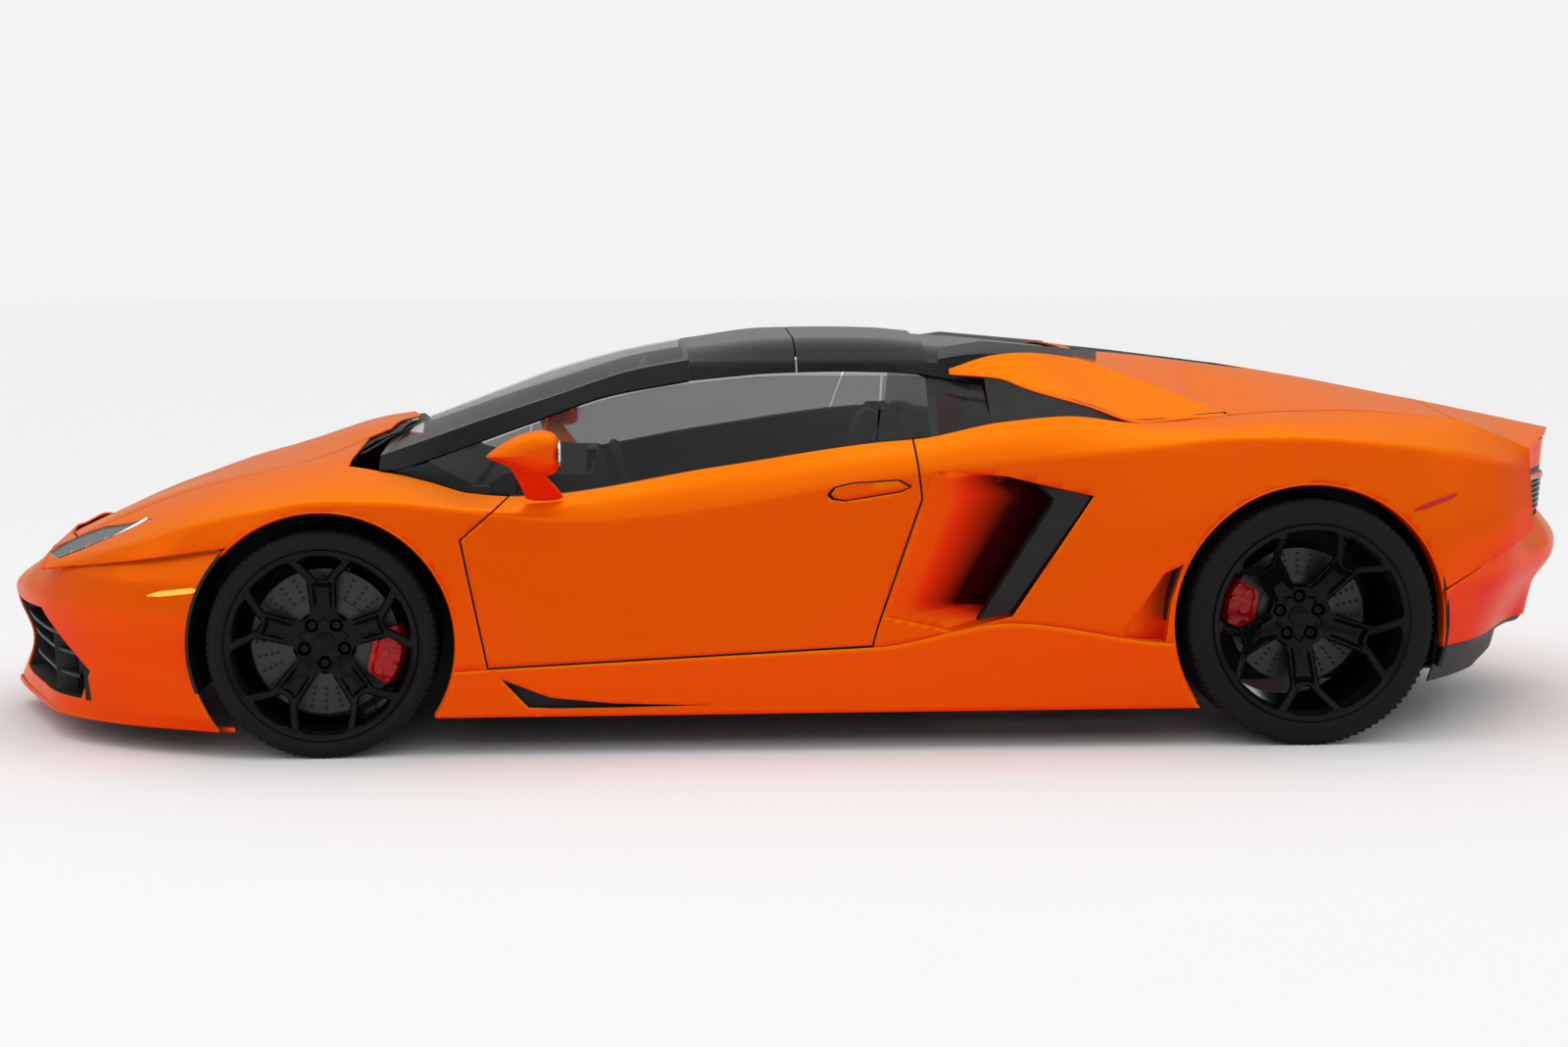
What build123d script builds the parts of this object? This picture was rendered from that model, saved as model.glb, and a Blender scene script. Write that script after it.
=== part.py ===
from build123d import *
import os
from math import cos, hypot, radians, sin

os.makedirs("parts", exist_ok=True)

# Low two-seat mid-engined car. Nose towards -X, tail towards +X, its own left side at -Y, ground at Z = 0.
# Millimetres. The origin is on the ground, midway between the two axles.

# ---- driving dimensions ----
wheelbase = 2700.0
track_front = 1720.0
track_rear = 1700.0
nose_x = -2390.0
tail_x = 2390.0
floor_z = 112.0
floor_thickness = 24.0

tyre_radius_front = 309.0
tyre_radius_rear = 340.0
tyre_width_front = 254.0
tyre_width_rear = 334.0
rim_radius_front = 258.5
rim_radius_rear = 271.5
disc_radius_front = 200.0
disc_radius_rear = 190.0
disc_thickness = 30.0
spindle_radius = 32.0
kingpin_radius = 9.0
arch_clearance_front = 50.0
arch_clearance_rear = 47.0
liner_thickness = 9.0

skin_wall = 22.0
roof_wall = 24.0
door_wall = 70.0
bumper_wall = 30.0
glass_thickness = 6.0
shut_gap = 5.0
panel_relief = 3.0
pane_recess = 12.0
seat_gap = 0.3
pin_gap = 0.05

front_x = -wheelbase / 2
rear_x = wheelbase / 2
arch_radius_front = tyre_radius_front + arch_clearance_front + liner_thickness
arch_radius_rear = tyre_radius_rear + arch_clearance_rear + liner_thickness
half_track_front = track_front / 2
half_track_rear = track_rear / 2
rail_front_y = 505.0
rail_rear_y = 600.0
rail_width = 78.0

# ---- character lines: rows of (station x, half width, height) ----
hood_centre = (
    (-2190, 0, 535), (-1950, 0, 636), (-1720, 0, 716), (-1510, 0, 782), (-1270, 0, 858), (-1140, 0, 874),
)
hood_ridge = (
    (-2190, 250, 538), (-1950, 250, 646), (-1720, 250, 724), (-1510, 250, 790), (-1270, 250, 862), (-1140, 250, 880),
)
hood_edge = (
    (-2190, 470, 510), (-2091, 520, 565), (-1993, 560, 608), (-1861, 600, 663), (-1712, 640, 712),
    (-1561, 680, 746), (-1345, 700, 790), (-1140, 700, 815),
)
side_top = (
    (-2180, 490, 522), (-2050, 540, 583), (-1940, 578, 630), (-1826, 612, 676), (-1675, 652, 724),
    (-1520, 692, 760), (-1345, 745, 776), (-1170, 792, 759), (-1067, 820, 737), (-950, 855, 707),
    (-830, 872, 699), (-272, 880, 776), (160, 872, 837), (285, 880, 848), (516, 870, 891), (700, 866, 905),
    (906, 858, 884), (1154, 812, 900), (1309, 802, 909), (1483, 787, 910), (1686, 762, 895),
    (1832, 737, 878), (1950, 705, 838), (2073, 650, 789),
)
side_shoulder = (
    (-2180, 545, 500), (-2050, 640, 548), (-1940, 705, 588), (-1826, 765, 640), (-1675, 820, 690),
    (-1520, 850, 722), (-1345, 872, 740), (-1170, 890, 728), (-950, 905, 690), (-830, 915, 680),
    (-272, 925, 725), (160, 925, 795), (516, 925, 840), (906, 915, 862), (1154, 900, 885), (1309, 890, 893),
    (1483, 875, 885), (1686, 840, 865), (1832, 790, 845), (1950, 740, 805), (2073, 656, 765),
)
side_crease = (
    (-2180, 575, 485), (-2050, 700, 525), (-1940, 790, 560), (-1826, 860, 592), (-1675, 925, 640),
    (-1520, 958, 675), (-1345, 968, 700), (-1170, 962, 695), (-950, 955, 672), (-656, 945, 643),
    (350, 952, 775), (906, 958, 824), (1154, 972, 850), (1309, 976, 850), (1483, 968, 838),
    (1686, 925, 812), (1832, 865, 790), (1950, 795, 760), (2073, 664, 735),
)
side_flank = (
    (-2180, 590, 455), (-2050, 735, 470), (-1940, 825, 480), (-1826, 888, 500), (-1675, 948, 530),
    (-1520, 982, 560), (-1345, 986, 560), (-1170, 985, 520), (-950, 975, 480), (-656, 968, 440),
    (160, 978, 470), (516, 985, 500), (906, 1000, 560), (1154, 1012, 620), (1309, 1015, 640),
    (1483, 1013, 620), (1686, 985, 560), (1832, 915, 560), (1950, 840, 560), (2073, 700, 590),
)
side_low = (
    (-2180, 590, 300), (-1675, 965, 250), (-1010, 983, 232), (160, 986, 286), (516, 998, 350),
    (990, 1003, 290), (1686, 990, 330), (1832, 900, 380), (1950, 800, 430), (2073, 690, 470),
)
sill_top = tuple((x, w, z - 2.5) for x, w, z in side_low)
sill_base = ((-1010, 983, floor_z), (160, 990, floor_z), (990, 1000, floor_z))
side_lines = (side_top, side_shoulder, side_crease, side_flank, side_low)

screen_centre = ((-1290, 0, 812), (-1104, 0, 879), (-902, 0, 955), (-741, 0, 1014), (-499, 0, 1077), (-345, 0, 1104))
screen_mid = ((-1290, 400, 800), (-1104, 400, 866), (-902, 400, 941), (-741, 380, 998), (-499, 340, 1065), (-345, 320, 1094))
screen_edge = ((-1290, 752, 776), (-1104, 722, 838), (-902, 688, 906), (-741, 642, 956), (-499, 574, 1030), (-345, 545, 1056))
pillar_foot = (
    (-1290, 768, 770), (-1170, 782, 768), (-1067, 762, 796), (-785, 703, 893), (-573, 642, 962), (-345, 600, 1001),
)
glass_head = tuple((x, w + 7, z - 9) for x, w, z in pillar_foot if x > -1200) + (
    (-73, 592, 1011), (191, 596, 1010), (427, 608, 995), (488, 640, 980),
)
glass_foot = tuple((x, w - 8, z + 4.9) for x, w, z in side_top if -1200 < x < 520)
quarter_head = tuple((x, w - 0.75 * pane_recess, z - 0.66 * pane_recess) for x, w, z in pillar_foot)
quarter_foot = tuple((x, w - 9, z - 19) for x, w, z in side_top if -1200 < x < -800)
rear_pane_foot = ((205, 843, 833), (292, 848, 840), (427, 866, 863), (488, 863, 874))
roof_centre = ((-340, 0, 1106), (-100, 0, 1134), (60, 0, 1136), (225, 0, 1132), (335, 0, 1122), (480, 0, 1112), (757, 0, 1082))
roof_ridge = ((-340, 430, 1084), (-100, 440, 1108), (60, 445, 1112), (225, 445, 1108), (335, 445, 1098),
              (480, 470, 1090), (757, 500, 1062))
roof_edge = ((-340, 562, 1040), (-100, 572, 1044), (60, 574, 1046), (225, 572, 1044), (335, 566, 1042),
             (480, 600, 1050), (757, 552, 1052))
roof_foot = ((-340, 597, 1003), (-100, 586, 1023), (60, 586, 1024), (225, 588, 1021), (335, 596, 1010))

deck_centre = ((757, 0, 1082), (1000, 0, 1052), (1309, 0, 1010), (1462, 0, 986), (1761, 0, 928), (1900, 0, 900), (2344, 0, 809))
deck_ridge = ((757, 300, 1080), (1000, 320, 1056), (1309, 320, 1014), (1462, 320, 990), (1761, 320, 931),
              (1900, 320, 904), (2344, 320, 806))
deck_edge = ((757, 560, 1054), (900, 640, 1008), (1028, 720, 958), (1154, 812, 900), (1309, 802, 909),
             (1483, 787, 910), (1686, 762, 895), (1832, 737, 878), (1950, 705, 838), (2073, 650, 789), (2344, 560, 785))
blade_edge = ((400, 652, 1020), (523, 700, 1012), (600, 735, 985), (757, 805, 935), (906, 858, 886), (1028, 835, 896), (1150, 814, 899))
blade_top = ((400, 640, 1030), (523, 632, 1067), (600, 622, 1073), (757, 566, 1056), (900, 640, 1008), (1028, 720, 958), (1150, 808, 902))

# ---- outlines of the moving panels and cuts ----
hood_plan = (
    (-2175, 0), (-2150, 300), (-2091, 520), (-1993, 560), (-1861, 600), (-1712, 640), (-1561, 680),
    (-1430, 640), (-1342, 560), (-1210, 350), (-1155, 0),
)
cover_plan = (
    (766, 0), (766, 560), (900, 640), (1028, 720), (1154, 808), (1309, 800), (1483, 785), (1686, 760), (1832, 735), (1832, 0),
)
door_side = (
    (-826, 720), (-975, 589), (-904, 238), (134, 289), (159, 347), (282, 689), (262, 870), (262, 1200), (-826, 1200),
)
lamp_plan = ((-2176, 500), (-2130, 600), (-2054, 652), (-1830, 756), (-1999, 580), (-2085, 530), (-2100, 500), (-2150, 480))
parting_side = ((-2420, 420), (-2119, 491), (-1601, 573), (-1300, 620))
intake_side = ((349, 763), (516, 748), (603, 726), (751, 693), (525, 368), (366, 327), (175, 369))


def at(line, x):
    """Half width and height of a character line at station x, held flat past its ends."""
    if x <= line[0][0]:
        return line[0][1:]
    for (x0, w0, z0), (x1, w1, z1) in zip(line, line[1:]):
        if x <= x1:
            t = (x - x0) / (x1 - x0)
            return (w0 + t * (w1 - w0), z0 + t * (z1 - z0))
    return line[-1][1:]


def inset(points, wall):
    """The same open outline moved inwards by the wall, square to its own runs."""
    moved = []
    for index, (w, z) in enumerate(points):
        before = points[max(index - 1, 0)]
        after = points[min(index + 1, len(points) - 1)]
        run = hypot(after[0] - before[0], after[1] - before[1])
        moved.append((w + wall * (after[1] - before[1]) / run, z - wall * (after[0] - before[0]) / run))
    return moved


def face(plane, points, grow=0.0):
    """A flat closed outline, grown outwards by a gap where one is given."""
    with BuildSketch(plane) as outline:
        with BuildLine():
            Polyline(*points, close=True)
        make_face()
        if grow:
            offset(amount=grow, kind=Kind.INTERSECTION)
    return outline.sketch


def strip(lines, stations, wall, level=False):
    """Wall of one body side: a ruled loft along x through sections of the given lines."""
    sections = []
    for x in stations:
        outer = [at(line, x) for line in lines]
        inner = [(w - wall, z) for w, z in outer] if level else inset(outer, wall)
        ring = outer + inner[::-1]
        sections.append(face(Plane.YZ.offset(x), [(-w, z) for w, z in ring]))
    loft(sections, ruled=True)


def canopy(lines, stations, wall):
    """Wall that spans the car from side to side, lofted along x; the first line is the centre."""
    sections = []
    for x in stations:
        half = [at(line, x) for line in lines]
        outer = [(-w, z) for w, z in half[:0:-1]] + half
        inner = [(w, z) for w, z in inset(outer, wall)]
        sections.append(face(Plane.YZ.offset(x), outer + inner[::-1]))
    loft(sections, ruled=True)


def prism(plane, points, reach, mode=Mode.ADD, grow=0.0):
    """Straight bar whose outline lies in a plane, reaching both ways from it."""
    extrude(face(plane, points, grow), amount=reach, both=True, mode=mode)


def both_sides(points):
    """A plan outline on the +Y side with its mirror image."""
    return list(points) + [(x, -y) for x, y in points[::-1] if y > 0]


def bar(x0, x1, y0, y1, z0, z1, mode=Mode.ADD):
    """Upright box between two corners."""
    with Locations(((x0 + x1) / 2, (y0 + y1) / 2, (z0 + z1) / 2)):
        Box(x1 - x0, y1 - y0, z1 - z0, mode=mode)


def pair(x0, x1, y0, y1, z0, z1, mode=Mode.ADD):
    """The same box on both sides of the car."""
    bar(x0, x1, -y1, -y0, z0, z1, mode)
    bar(x0, x1, y0, y1, z0, z1, mode)


def drum(x, z, radius, y0, y1, mode=Mode.ADD):
    """Cylinder across the car between two y positions."""
    with Locations(Plane((x, (y0 + y1) / 2, z), x_dir=(1, 0, 0), z_dir=(0, 1, 0))):
        Cylinder(radius, abs(y1 - y0), mode=mode)


def cut_arches(grow=0.0):
    """Open the wheel arches through a body side."""
    drum(front_x, tyre_radius_front, arch_radius_front + grow, -1200, -rail_front_y, Mode.SUBTRACT)
    drum(rear_x, tyre_radius_rear, arch_radius_rear + grow, -1200, -rail_rear_y, Mode.SUBTRACT)


def clear_of(*others):
    """Cut a piece back to the faces of finished pieces."""
    for other in others:
        add(other.part, mode=Mode.SUBTRACT)


def save(part, name):
    """Label a finished piece and write it."""
    part.part.label = name
    export_step(part.part, f"parts/{name}.step")
    print(name, [round(solid.volume / 1000) for solid in part.part.solids()])


sides = (("left", -1), ("right", 1))

# ---- door hinge: each door lifts at its tail about one leaning pin by the top of its front edge ----
hinge_x = -930.0
hinge_y = 800.0
hinge_z = 690.0
hinge_lean_x = 0.22
hinge_lean_z = 0.06
hinge_pin_radius = 11.0
hinge_boss_radius = 19.0
hinge_boss_depth = 24.0
hinge_boss_inset = 28.0
hinge_pin_start = 60.0
hinge_pin_length = 54.0
hinge_arm_run = 115.0
hinge_arm_drop = 90.0
hinge_arm_half = 13.0
hinge_foot_reach = 150.0
hood_hinge_x = -1125.0
hood_hinge_z = 846.0
cover_hinge_x = 780.0
cover_hinge_z = 1062.0
lid_pin_radius = 5.0
lid_eye_radius = 10.0


def hinge_plane(sign):
    """Plane at a door's pivot whose normal runs outwards along the hinge pin."""
    return Plane((hinge_x, sign * hinge_y, hinge_z), x_dir=(0, 0, 1), z_dir=(hinge_lean_x, sign, -hinge_lean_z))


def hinge_arm(sign):
    """Boss on the hinge pin, an arm down and back from it, and the foot that carries the arm into the door."""
    base = hinge_plane(sign).offset(-hinge_boss_inset)
    length = hypot(hinge_arm_run, hinge_arm_drop)
    side_u = hinge_arm_half * hinge_arm_run / length
    side_v = sign * hinge_arm_half * hinge_arm_drop / length
    end_u, end_v = -hinge_arm_drop, sign * hinge_arm_run
    corners = (
        (side_u, side_v), (end_u + side_u, end_v + side_v), (end_u - side_u, end_v - side_v), (-side_u, -side_v),
    )
    extrude(face(base, corners), amount=hinge_boss_depth)
    with BuildSketch(base) as boss:
        Circle(hinge_boss_radius)
    extrude(boss.sketch, amount=hinge_boss_depth)
    with BuildSketch(base) as foot:
        with Locations((end_u, end_v)):
            Rectangle(2 * hinge_arm_half, 2 * hinge_arm_half)
    extrude(foot.sketch, amount=hinge_foot_reach)
    with BuildSketch(base.offset(-1)) as bore:
        Circle(hinge_pin_radius + pin_gap)
    extrude(bore.sketch, amount=hinge_boss_depth + 2, mode=Mode.SUBTRACT)


# ---- central monocoque ----
cabin_front = -955.0
cabin_rear = 335.0
sill_inner = 690.0
sill_outer = 790.0
with BuildPart() as tub:
    bar(cabin_front, cabin_rear, -sill_inner - 5, sill_inner + 5, floor_z, floor_z + floor_thickness)
    pair(front_x + arch_radius_front + 12, rear_x - arch_radius_rear - 12, sill_inner, sill_outer, floor_z, 300)
    bar(cabin_front - 25, cabin_front, -700, 700, floor_z, 690)
    prism(Plane.YZ.offset(cabin_rear + 12.5), ((-700, 112), (-700, 820), (-545, 1000), (545, 1000), (700, 820), (700, 112)), 12.5)
    pair(-2060, cabin_front, rail_front_y - rail_width, rail_front_y - seat_gap, 130, 330)
    pair(front_x - 150, front_x + 150, rail_front_y - 60, rail_front_y - seat_gap, 320, 560)
    bar(-2085, -2050, -430, 430, 180, 420)
    pair(cabin_rear, 1890, rail_rear_y - rail_width, rail_rear_y - seat_gap, 200, 350)
    pair(rear_x - 150, rear_x + 150, rail_rear_y - 60, rail_rear_y - seat_gap, 340, 600)
    bar(1860, 1890, -rail_rear_y + seat_gap, rail_rear_y - seat_gap, 200, 420)
    for x, y in ((-880, 560), (-880, -560), (240, 560), (240, -560)):
        with Locations((x, y, floor_z - 6)):
            Cylinder(40, 12)
save(tub, "tub")

# ---- front bumper: plan outlines at rising heights, rows of (x, half width) from the middle outwards ----
bumper_levels = (
    (72, ((-2386, 0), (-2332, 150), (-2227, 400), (-2134, 600), (-1921, 800), (-1669, 950))),
    (214, ((-2340, 0), (-2310, 150), (-2222, 400), (-2134, 600), (-1945, 800), (-1669, 960))),
    (361, ((nose_x, 0), (-2345, 150), (-2255, 400), (-2160, 590), (-1975, 790), (-1650, 968))),
    (470, ((-2270, 0), (-2262, 150), (-2200, 400), (-2125, 600), (-1965, 785), (-1620, 968))),
    (560, ((-2160, 0), (-2158, 150), (-2120, 400), (-2075, 600), (-1960, 745), (-1560, 968))),
)
with BuildPart() as front_bumper:
    sections = []
    for height, row in bumper_levels:
        outer = [(x, -y) for x, y in row[:0:-1]] + list(row)
        inner = inset(outer, bumper_wall)
        sections.append(face(Plane.XY.offset(height), outer + inner[::-1]))
    loft(sections, ruled=True)
    prism(Plane.XZ, parting_side + ((-1300, 900), (-2180, 900), (-2180, 640), (-2420, 640)), 1100, Mode.SUBTRACT)
    prism(Plane.XY.offset(600), both_sides(hood_plan), 200, Mode.SUBTRACT, shut_gap)
    for sign in (-1, 1):
        mouth = ((60, 120), (60, 350), (545, 362), (735, 205), (690, 125))
        prism(Plane.YZ.offset(-2200), [(sign * w, z) for w, z in mouth], 260, Mode.SUBTRACT)
    drum(front_x, tyre_radius_front, arch_radius_front + seat_gap, -1200, 1200, Mode.SUBTRACT)
save(front_bumper, "front_bumper")

with BuildPart() as front_grilles:
    row = bumper_levels[1][1]
    for sign in (-1, 1):
        outer = [(x, y) for x, y in row[1:5]]
        ring = inset(outer, 18) + inset(outer, 44)[::-1]
        prism(Plane.XY.offset(236), [(x, sign * y) for x, y in ring], 136)
    clear_of(front_bumper)
save(front_grilles, "front_grilles")

# ---- front fenders ----
front_stations = (-2180, -2050, -1940, -1826, -1675, -1520, -1345, -1170, -1067, -950, -830)
with BuildPart() as front_fenders:
    strip(side_lines, front_stations, skin_wall)
    cut_arches(seat_gap)
    prism(Plane.XZ, parting_side + ((-1300, 0), (-2420, 0)), 1100, Mode.SUBTRACT, seat_gap)
    bar(-1700, front_x, -1200, 0, 0, 500, Mode.SUBTRACT)
    bar(-912, -700, -1200, 0, 0, 300, Mode.SUBTRACT)
    prism(Plane.XY.offset(600), both_sides(hood_plan), 400, Mode.SUBTRACT, shut_gap)
    prism(Plane.XZ, door_side, 1100, Mode.SUBTRACT, shut_gap)
    prism(Plane.XY.offset(600), [(x, -y) for x, y in lamp_plan], 300, Mode.SUBTRACT)
    mirror(about=Plane.XZ)
save(front_fenders, "front_fenders")

with BuildPart() as headlights:
    strip(side_lines, front_stations[:5], skin_wall)
    prism(Plane.XY.offset(600), [(x, -y) for x, y in lamp_plan], 300, Mode.INTERSECT, -seat_gap)
    prism(Plane.XY.offset(600), both_sides(hood_plan), 400, Mode.SUBTRACT, shut_gap)
    mirror(about=Plane.XZ)
save(headlights, "headlights")

# ---- hood ----
with BuildPart() as hood:
    canopy((hood_centre, hood_ridge, hood_edge), (-2190, -2091, -1950, -1861, -1712, -1561, -1345, -1140), skin_wall)
    prism(Plane.XY.offset(600), both_sides(hood_plan), 500, Mode.INTERSECT, -panel_relief)
    for sign in (-1, 1):
        arm = Plane.XZ.offset(-sign * 70)
        prism(arm, ((-1215, 842), (-1215, 820), (hood_hinge_x, hood_hinge_z - 9), (hood_hinge_x, hood_hinge_z + 9)), 9)
        with Locations(Plane((hood_hinge_x, sign * 70, hood_hinge_z), z_dir=(0, 1, 0))):
            Cylinder(lid_eye_radius, 18)
            Cylinder(lid_pin_radius + pin_gap, 30, mode=Mode.SUBTRACT)
save(hood, "hood")

# ---- wheel arch liners ----
with BuildPart() as wheel_arch_liners:
    for x, height, radius, inner_y, outer_y in (
        (front_x, tyre_radius_front, arch_radius_front, rail_front_y, 955),
        (rear_x, tyre_radius_rear, arch_radius_rear, rail_rear_y, 975),
    ):
        with BuildSketch(Plane.XZ.offset(inner_y)):
            with Locations((x, height)):
                Circle(radius)
                Circle(radius - liner_thickness, mode=Mode.SUBTRACT)
            with Locations((x, height - 130 - radius)):
                Rectangle(2 * radius + 10, 2 * radius, mode=Mode.SUBTRACT)
        extrude(amount=outer_y - inner_y)
    mirror(about=Plane.XZ)
save(wheel_arch_liners, "wheel_arch_liners")

# ---- sills ----
with BuildPart() as side_sills:
    strip((sill_top, sill_base), (-1010, 160, 516, 990), 40, True)
    cut_arches(seat_gap)
    bar(-960, 940, -960, -sill_outer - seat_gap, 120, 222)
    prism(Plane.XZ, door_side, 1100, Mode.SUBTRACT, shut_gap)
    mirror(about=Plane.XZ)
save(side_sills, "side_sills")

# ---- rear fenders ----
rear_stations = (250, 340, 516, 700, 906, 1154, 1309, 1483, 1686, 1832, 1950, 2060)
with BuildPart() as rear_fenders:
    strip(side_lines, rear_stations, skin_wall)
    cut_arches(seat_gap)
    prism(Plane.XZ, door_side, 1100, Mode.SUBTRACT, shut_gap)
    prism(Plane.XZ, intake_side, 1100, Mode.SUBTRACT)
    prism(Plane.XY.offset(900), both_sides(cover_plan), 400, Mode.SUBTRACT, shut_gap)
    prism(Plane.XZ, ((1500, 300), (1734, 424), (1959, 514), (2200, 600), (2200, 0), (1500, 0)), 1100, Mode.SUBTRACT)
    mirror(about=Plane.XZ)
save(rear_fenders, "rear_fenders")

# ---- windscreen, its frame and the roof ----
screen_stations = (-1279, -1104, -902, -741, -499, -345)
pillar_stations = (-1280, -1170, -1104, -1067, -902, -785, -741, -573, -499, -345)
screen_lines = (screen_centre, screen_mid, screen_edge)
with BuildPart() as windshield_frame:
    strip((screen_edge, pillar_foot), pillar_stations, skin_wall)
    mirror(about=Plane.XZ)
    clear_of(front_fenders)
save(windshield_frame, "windshield_frame")

with BuildPart() as windshield:
    canopy(screen_lines, screen_stations, glass_thickness)
    prism(Plane.XY.offset(900), both_sides(hood_plan), 400, Mode.SUBTRACT, shut_gap)
    prism(Plane.XY.offset(900), ((-1105, -340), (-1105, 340), (-1500, 900), (-1500, -900)), 400, Mode.SUBTRACT)
    clear_of(front_fenders, windshield_frame)
save(windshield, "windshield")

roof_stations = (-344.7, -100, 60, 225, 335)
with BuildPart() as roof_panels:
    canopy((roof_centre, roof_ridge, roof_edge, roof_foot), roof_stations, roof_wall)
    bar(-400, 400, -0.15, 0.15, 900, 1200, Mode.SUBTRACT)
    clear_of(windshield_frame, windshield)
save(roof_panels, "roof_panels")

with BuildPart() as rear_hoop:
    canopy((roof_centre, roof_ridge, roof_edge), (335.3, 480, 600, 752), roof_wall)
    bar(520, 800, -300, 300, 950, 1200, Mode.SUBTRACT)
    prism(Plane.YZ.offset(cabin_rear + 12.5), (
        (-545, 1000), (-545, 1045), (-440, 1085), (440, 1085), (545, 1045), (545, 1000),
    ), 12)
    bar(cabin_rear - 5, cabin_rear + 30, -330, 330, 1012, 1066, Mode.SUBTRACT)
save(rear_hoop, "rear_hoop")

# ---- side glass ----
with BuildPart() as quarter_windows:
    strip((quarter_head, quarter_foot), (-1165, -1067, -950, -831), glass_thickness)
    prism(Plane.XZ, door_side, 1100, Mode.SUBTRACT, shut_gap)
    strip((glass_head, rear_pane_foot), (205, 292, 427, 488), glass_thickness)
    prism(Plane.XZ, ((150, 600), (150, 845), (292, 857), (292, 600)), 1100, Mode.SUBTRACT)
    mirror(about=Plane.XZ)
    clear_of(windshield_frame, roof_panels, front_fenders, rear_fenders)
save(quarter_windows, "quarter_windows")

for side, sign in sides:
    with BuildPart() as door_glass:
        strip((glass_head, glass_foot), (-825, -785, -573, -345, -272, -73, 160, 191, 200), glass_thickness)
        if sign > 0:
            mirror(about=Plane.XZ, mode=Mode.REPLACE)
    save(door_glass, f"door_glass_{side}")

# ---- doors: an outer skin on a smaller core, with the hinge boss ----
door_stations = (-985, -904, -830, -656, -272, 160, 285, 300)
door_core_margin = 26.0
for side, sign in sides:
    with BuildPart() as door_skin:
        strip(side_lines, door_stations, skin_wall, True)
        prism(Plane.XZ, door_side, 1100, Mode.INTERSECT, -panel_relief)
        prism(Plane.XZ, ((-925, 633), (-806, 724), (-840, 745)), 1100, Mode.SUBTRACT)
    with BuildPart() as door:
        strip(side_lines, door_stations, door_wall, True)
        prism(Plane.XZ, door_side, 1100, Mode.INTERSECT, -door_core_margin)
        bar(190, 300, -900, -700, 800, 900, Mode.SUBTRACT)
        add(door_skin.part)
        if sign > 0:
            mirror(about=Plane.XZ, mode=Mode.REPLACE)
        hinge_arm(sign)
    save(door, f"door_{side}")
    with BuildPart() as mirror_pod:
        with BuildSketch(Plane((-700, sign * 1045, 828), x_dir=(0, sign, 0), z_dir=(-1, 0, 0))):
            with BuildLine():
                Polyline(*[(u, -sign * v) for u, v in ((-85, 42), (-20, 58), (70, 40), (88, -30), (40, -60), (-60, -58))], close=True)
            make_face()
        extrude(amount=165, taper=12)
        for low, high in (((690, -790, -700, 905, 945), (762, -805, -745, 975, 1040)), ((760, -805, -745, 975, 1040), (790, -800, -720, 990, 1050))):
            loft([
                face(Plane.XY.offset(z), ((x0, sign * y0), (x1, sign * y0), (x1, sign * y1), (x0, sign * y1)))
                for z, x0, x1, y0, y1 in (low, high)
            ], ruled=True)
        clear_of(door)
    save(mirror_pod, f"mirror_{side}")

# ---- engine cover, fixed blades beside it and the tail ----
with BuildPart() as engine_cover:
    canopy((deck_centre, deck_ridge, deck_edge), (757, 900, 1028, 1154, 1309, 1483, 1686, 1832), skin_wall)
    prism(Plane.XY.offset(900), both_sides(cover_plan), 400, Mode.INTERSECT, -panel_relief)
    bar(1832 - 2 * panel_relief, 1900, -800, 800, 700, 1000, Mode.SUBTRACT)
    for sign in (-1, 1):
        bar(750, 806, sign * 335 - 9, sign * 335 + 9, 1000, 1090, Mode.SUBTRACT)
        with Locations(Plane((cover_hinge_x, sign * 353, cover_hinge_z), z_dir=(0, 1, 0))):
            Cylinder(lid_eye_radius, 18)
            Cylinder(lid_pin_radius + pin_gap, 18.2, mode=Mode.SUBTRACT)
save(engine_cover, "engine_cover")

with BuildPart() as side_blades:
    strip((blade_top, blade_edge), (402, 523, 600, 757, 900, 1028, 1150), skin_wall)
    prism(Plane.XY.offset(900), both_sides(cover_plan), 400, Mode.SUBTRACT, shut_gap)
    mirror(about=Plane.XZ)
    clear_of(rear_fenders, rear_hoop)
save(side_blades, "side_blades")

with BuildPart() as tail_spoiler:
    canopy((deck_centre, deck_ridge, deck_edge), (1837, 1950, 2073, 2344), skin_wall)
    prism(Plane.XY.offset(900), ((1700, -900), (1700, 900), (2073, 650), (2200, 430), (2290, 200), (2344, 0),
                                 (2290, -200), (2200, -430), (2073, -650)), 400, Mode.INTERSECT)
    clear_of(rear_fenders)
save(tail_spoiler, "tail_spoiler")

# ---- rear bumper: plan outlines at rising heights ----
rear_levels = (
    (262, ((2230, 0), (2190, 300), (2110, 400), (1868, 800), (1712, 960))),
    (360, ((2290, 0), (2215, 300), (2110, 480), (1900, 800), (1718, 980))),
    (451, ((tail_x, 0), (2270, 300), (2112, 560), (1965, 770), (1730, 985))),
    (560, ((2320, 0), (2220, 300), (2130, 450), (1962, 770), (1734, 985))),
)
with BuildPart() as rear_bumper:
    sections = []
    for height, row in rear_levels:
        outer = list(row[::-1]) + [(x, -y) for x, y in row[1:]]
        inner = inset(outer, bumper_wall)
        sections.append(face(Plane.XY.offset(height), outer + inner[::-1]))
    loft(sections, ruled=True)
    prism(Plane.XZ, ((1500, 300), (1734, 424), (1959, 514), (2200, 600), (2200, 900), (1500, 900)), 1100, Mode.SUBTRACT, seat_gap)
    drum(rear_x, tyre_radius_rear, arch_radius_rear + seat_gap, -1200, 1200, Mode.SUBTRACT)
    bar(2000, 2400, -118, 118, 342, 438, Mode.SUBTRACT)
save(rear_bumper, "rear_bumper")

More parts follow.
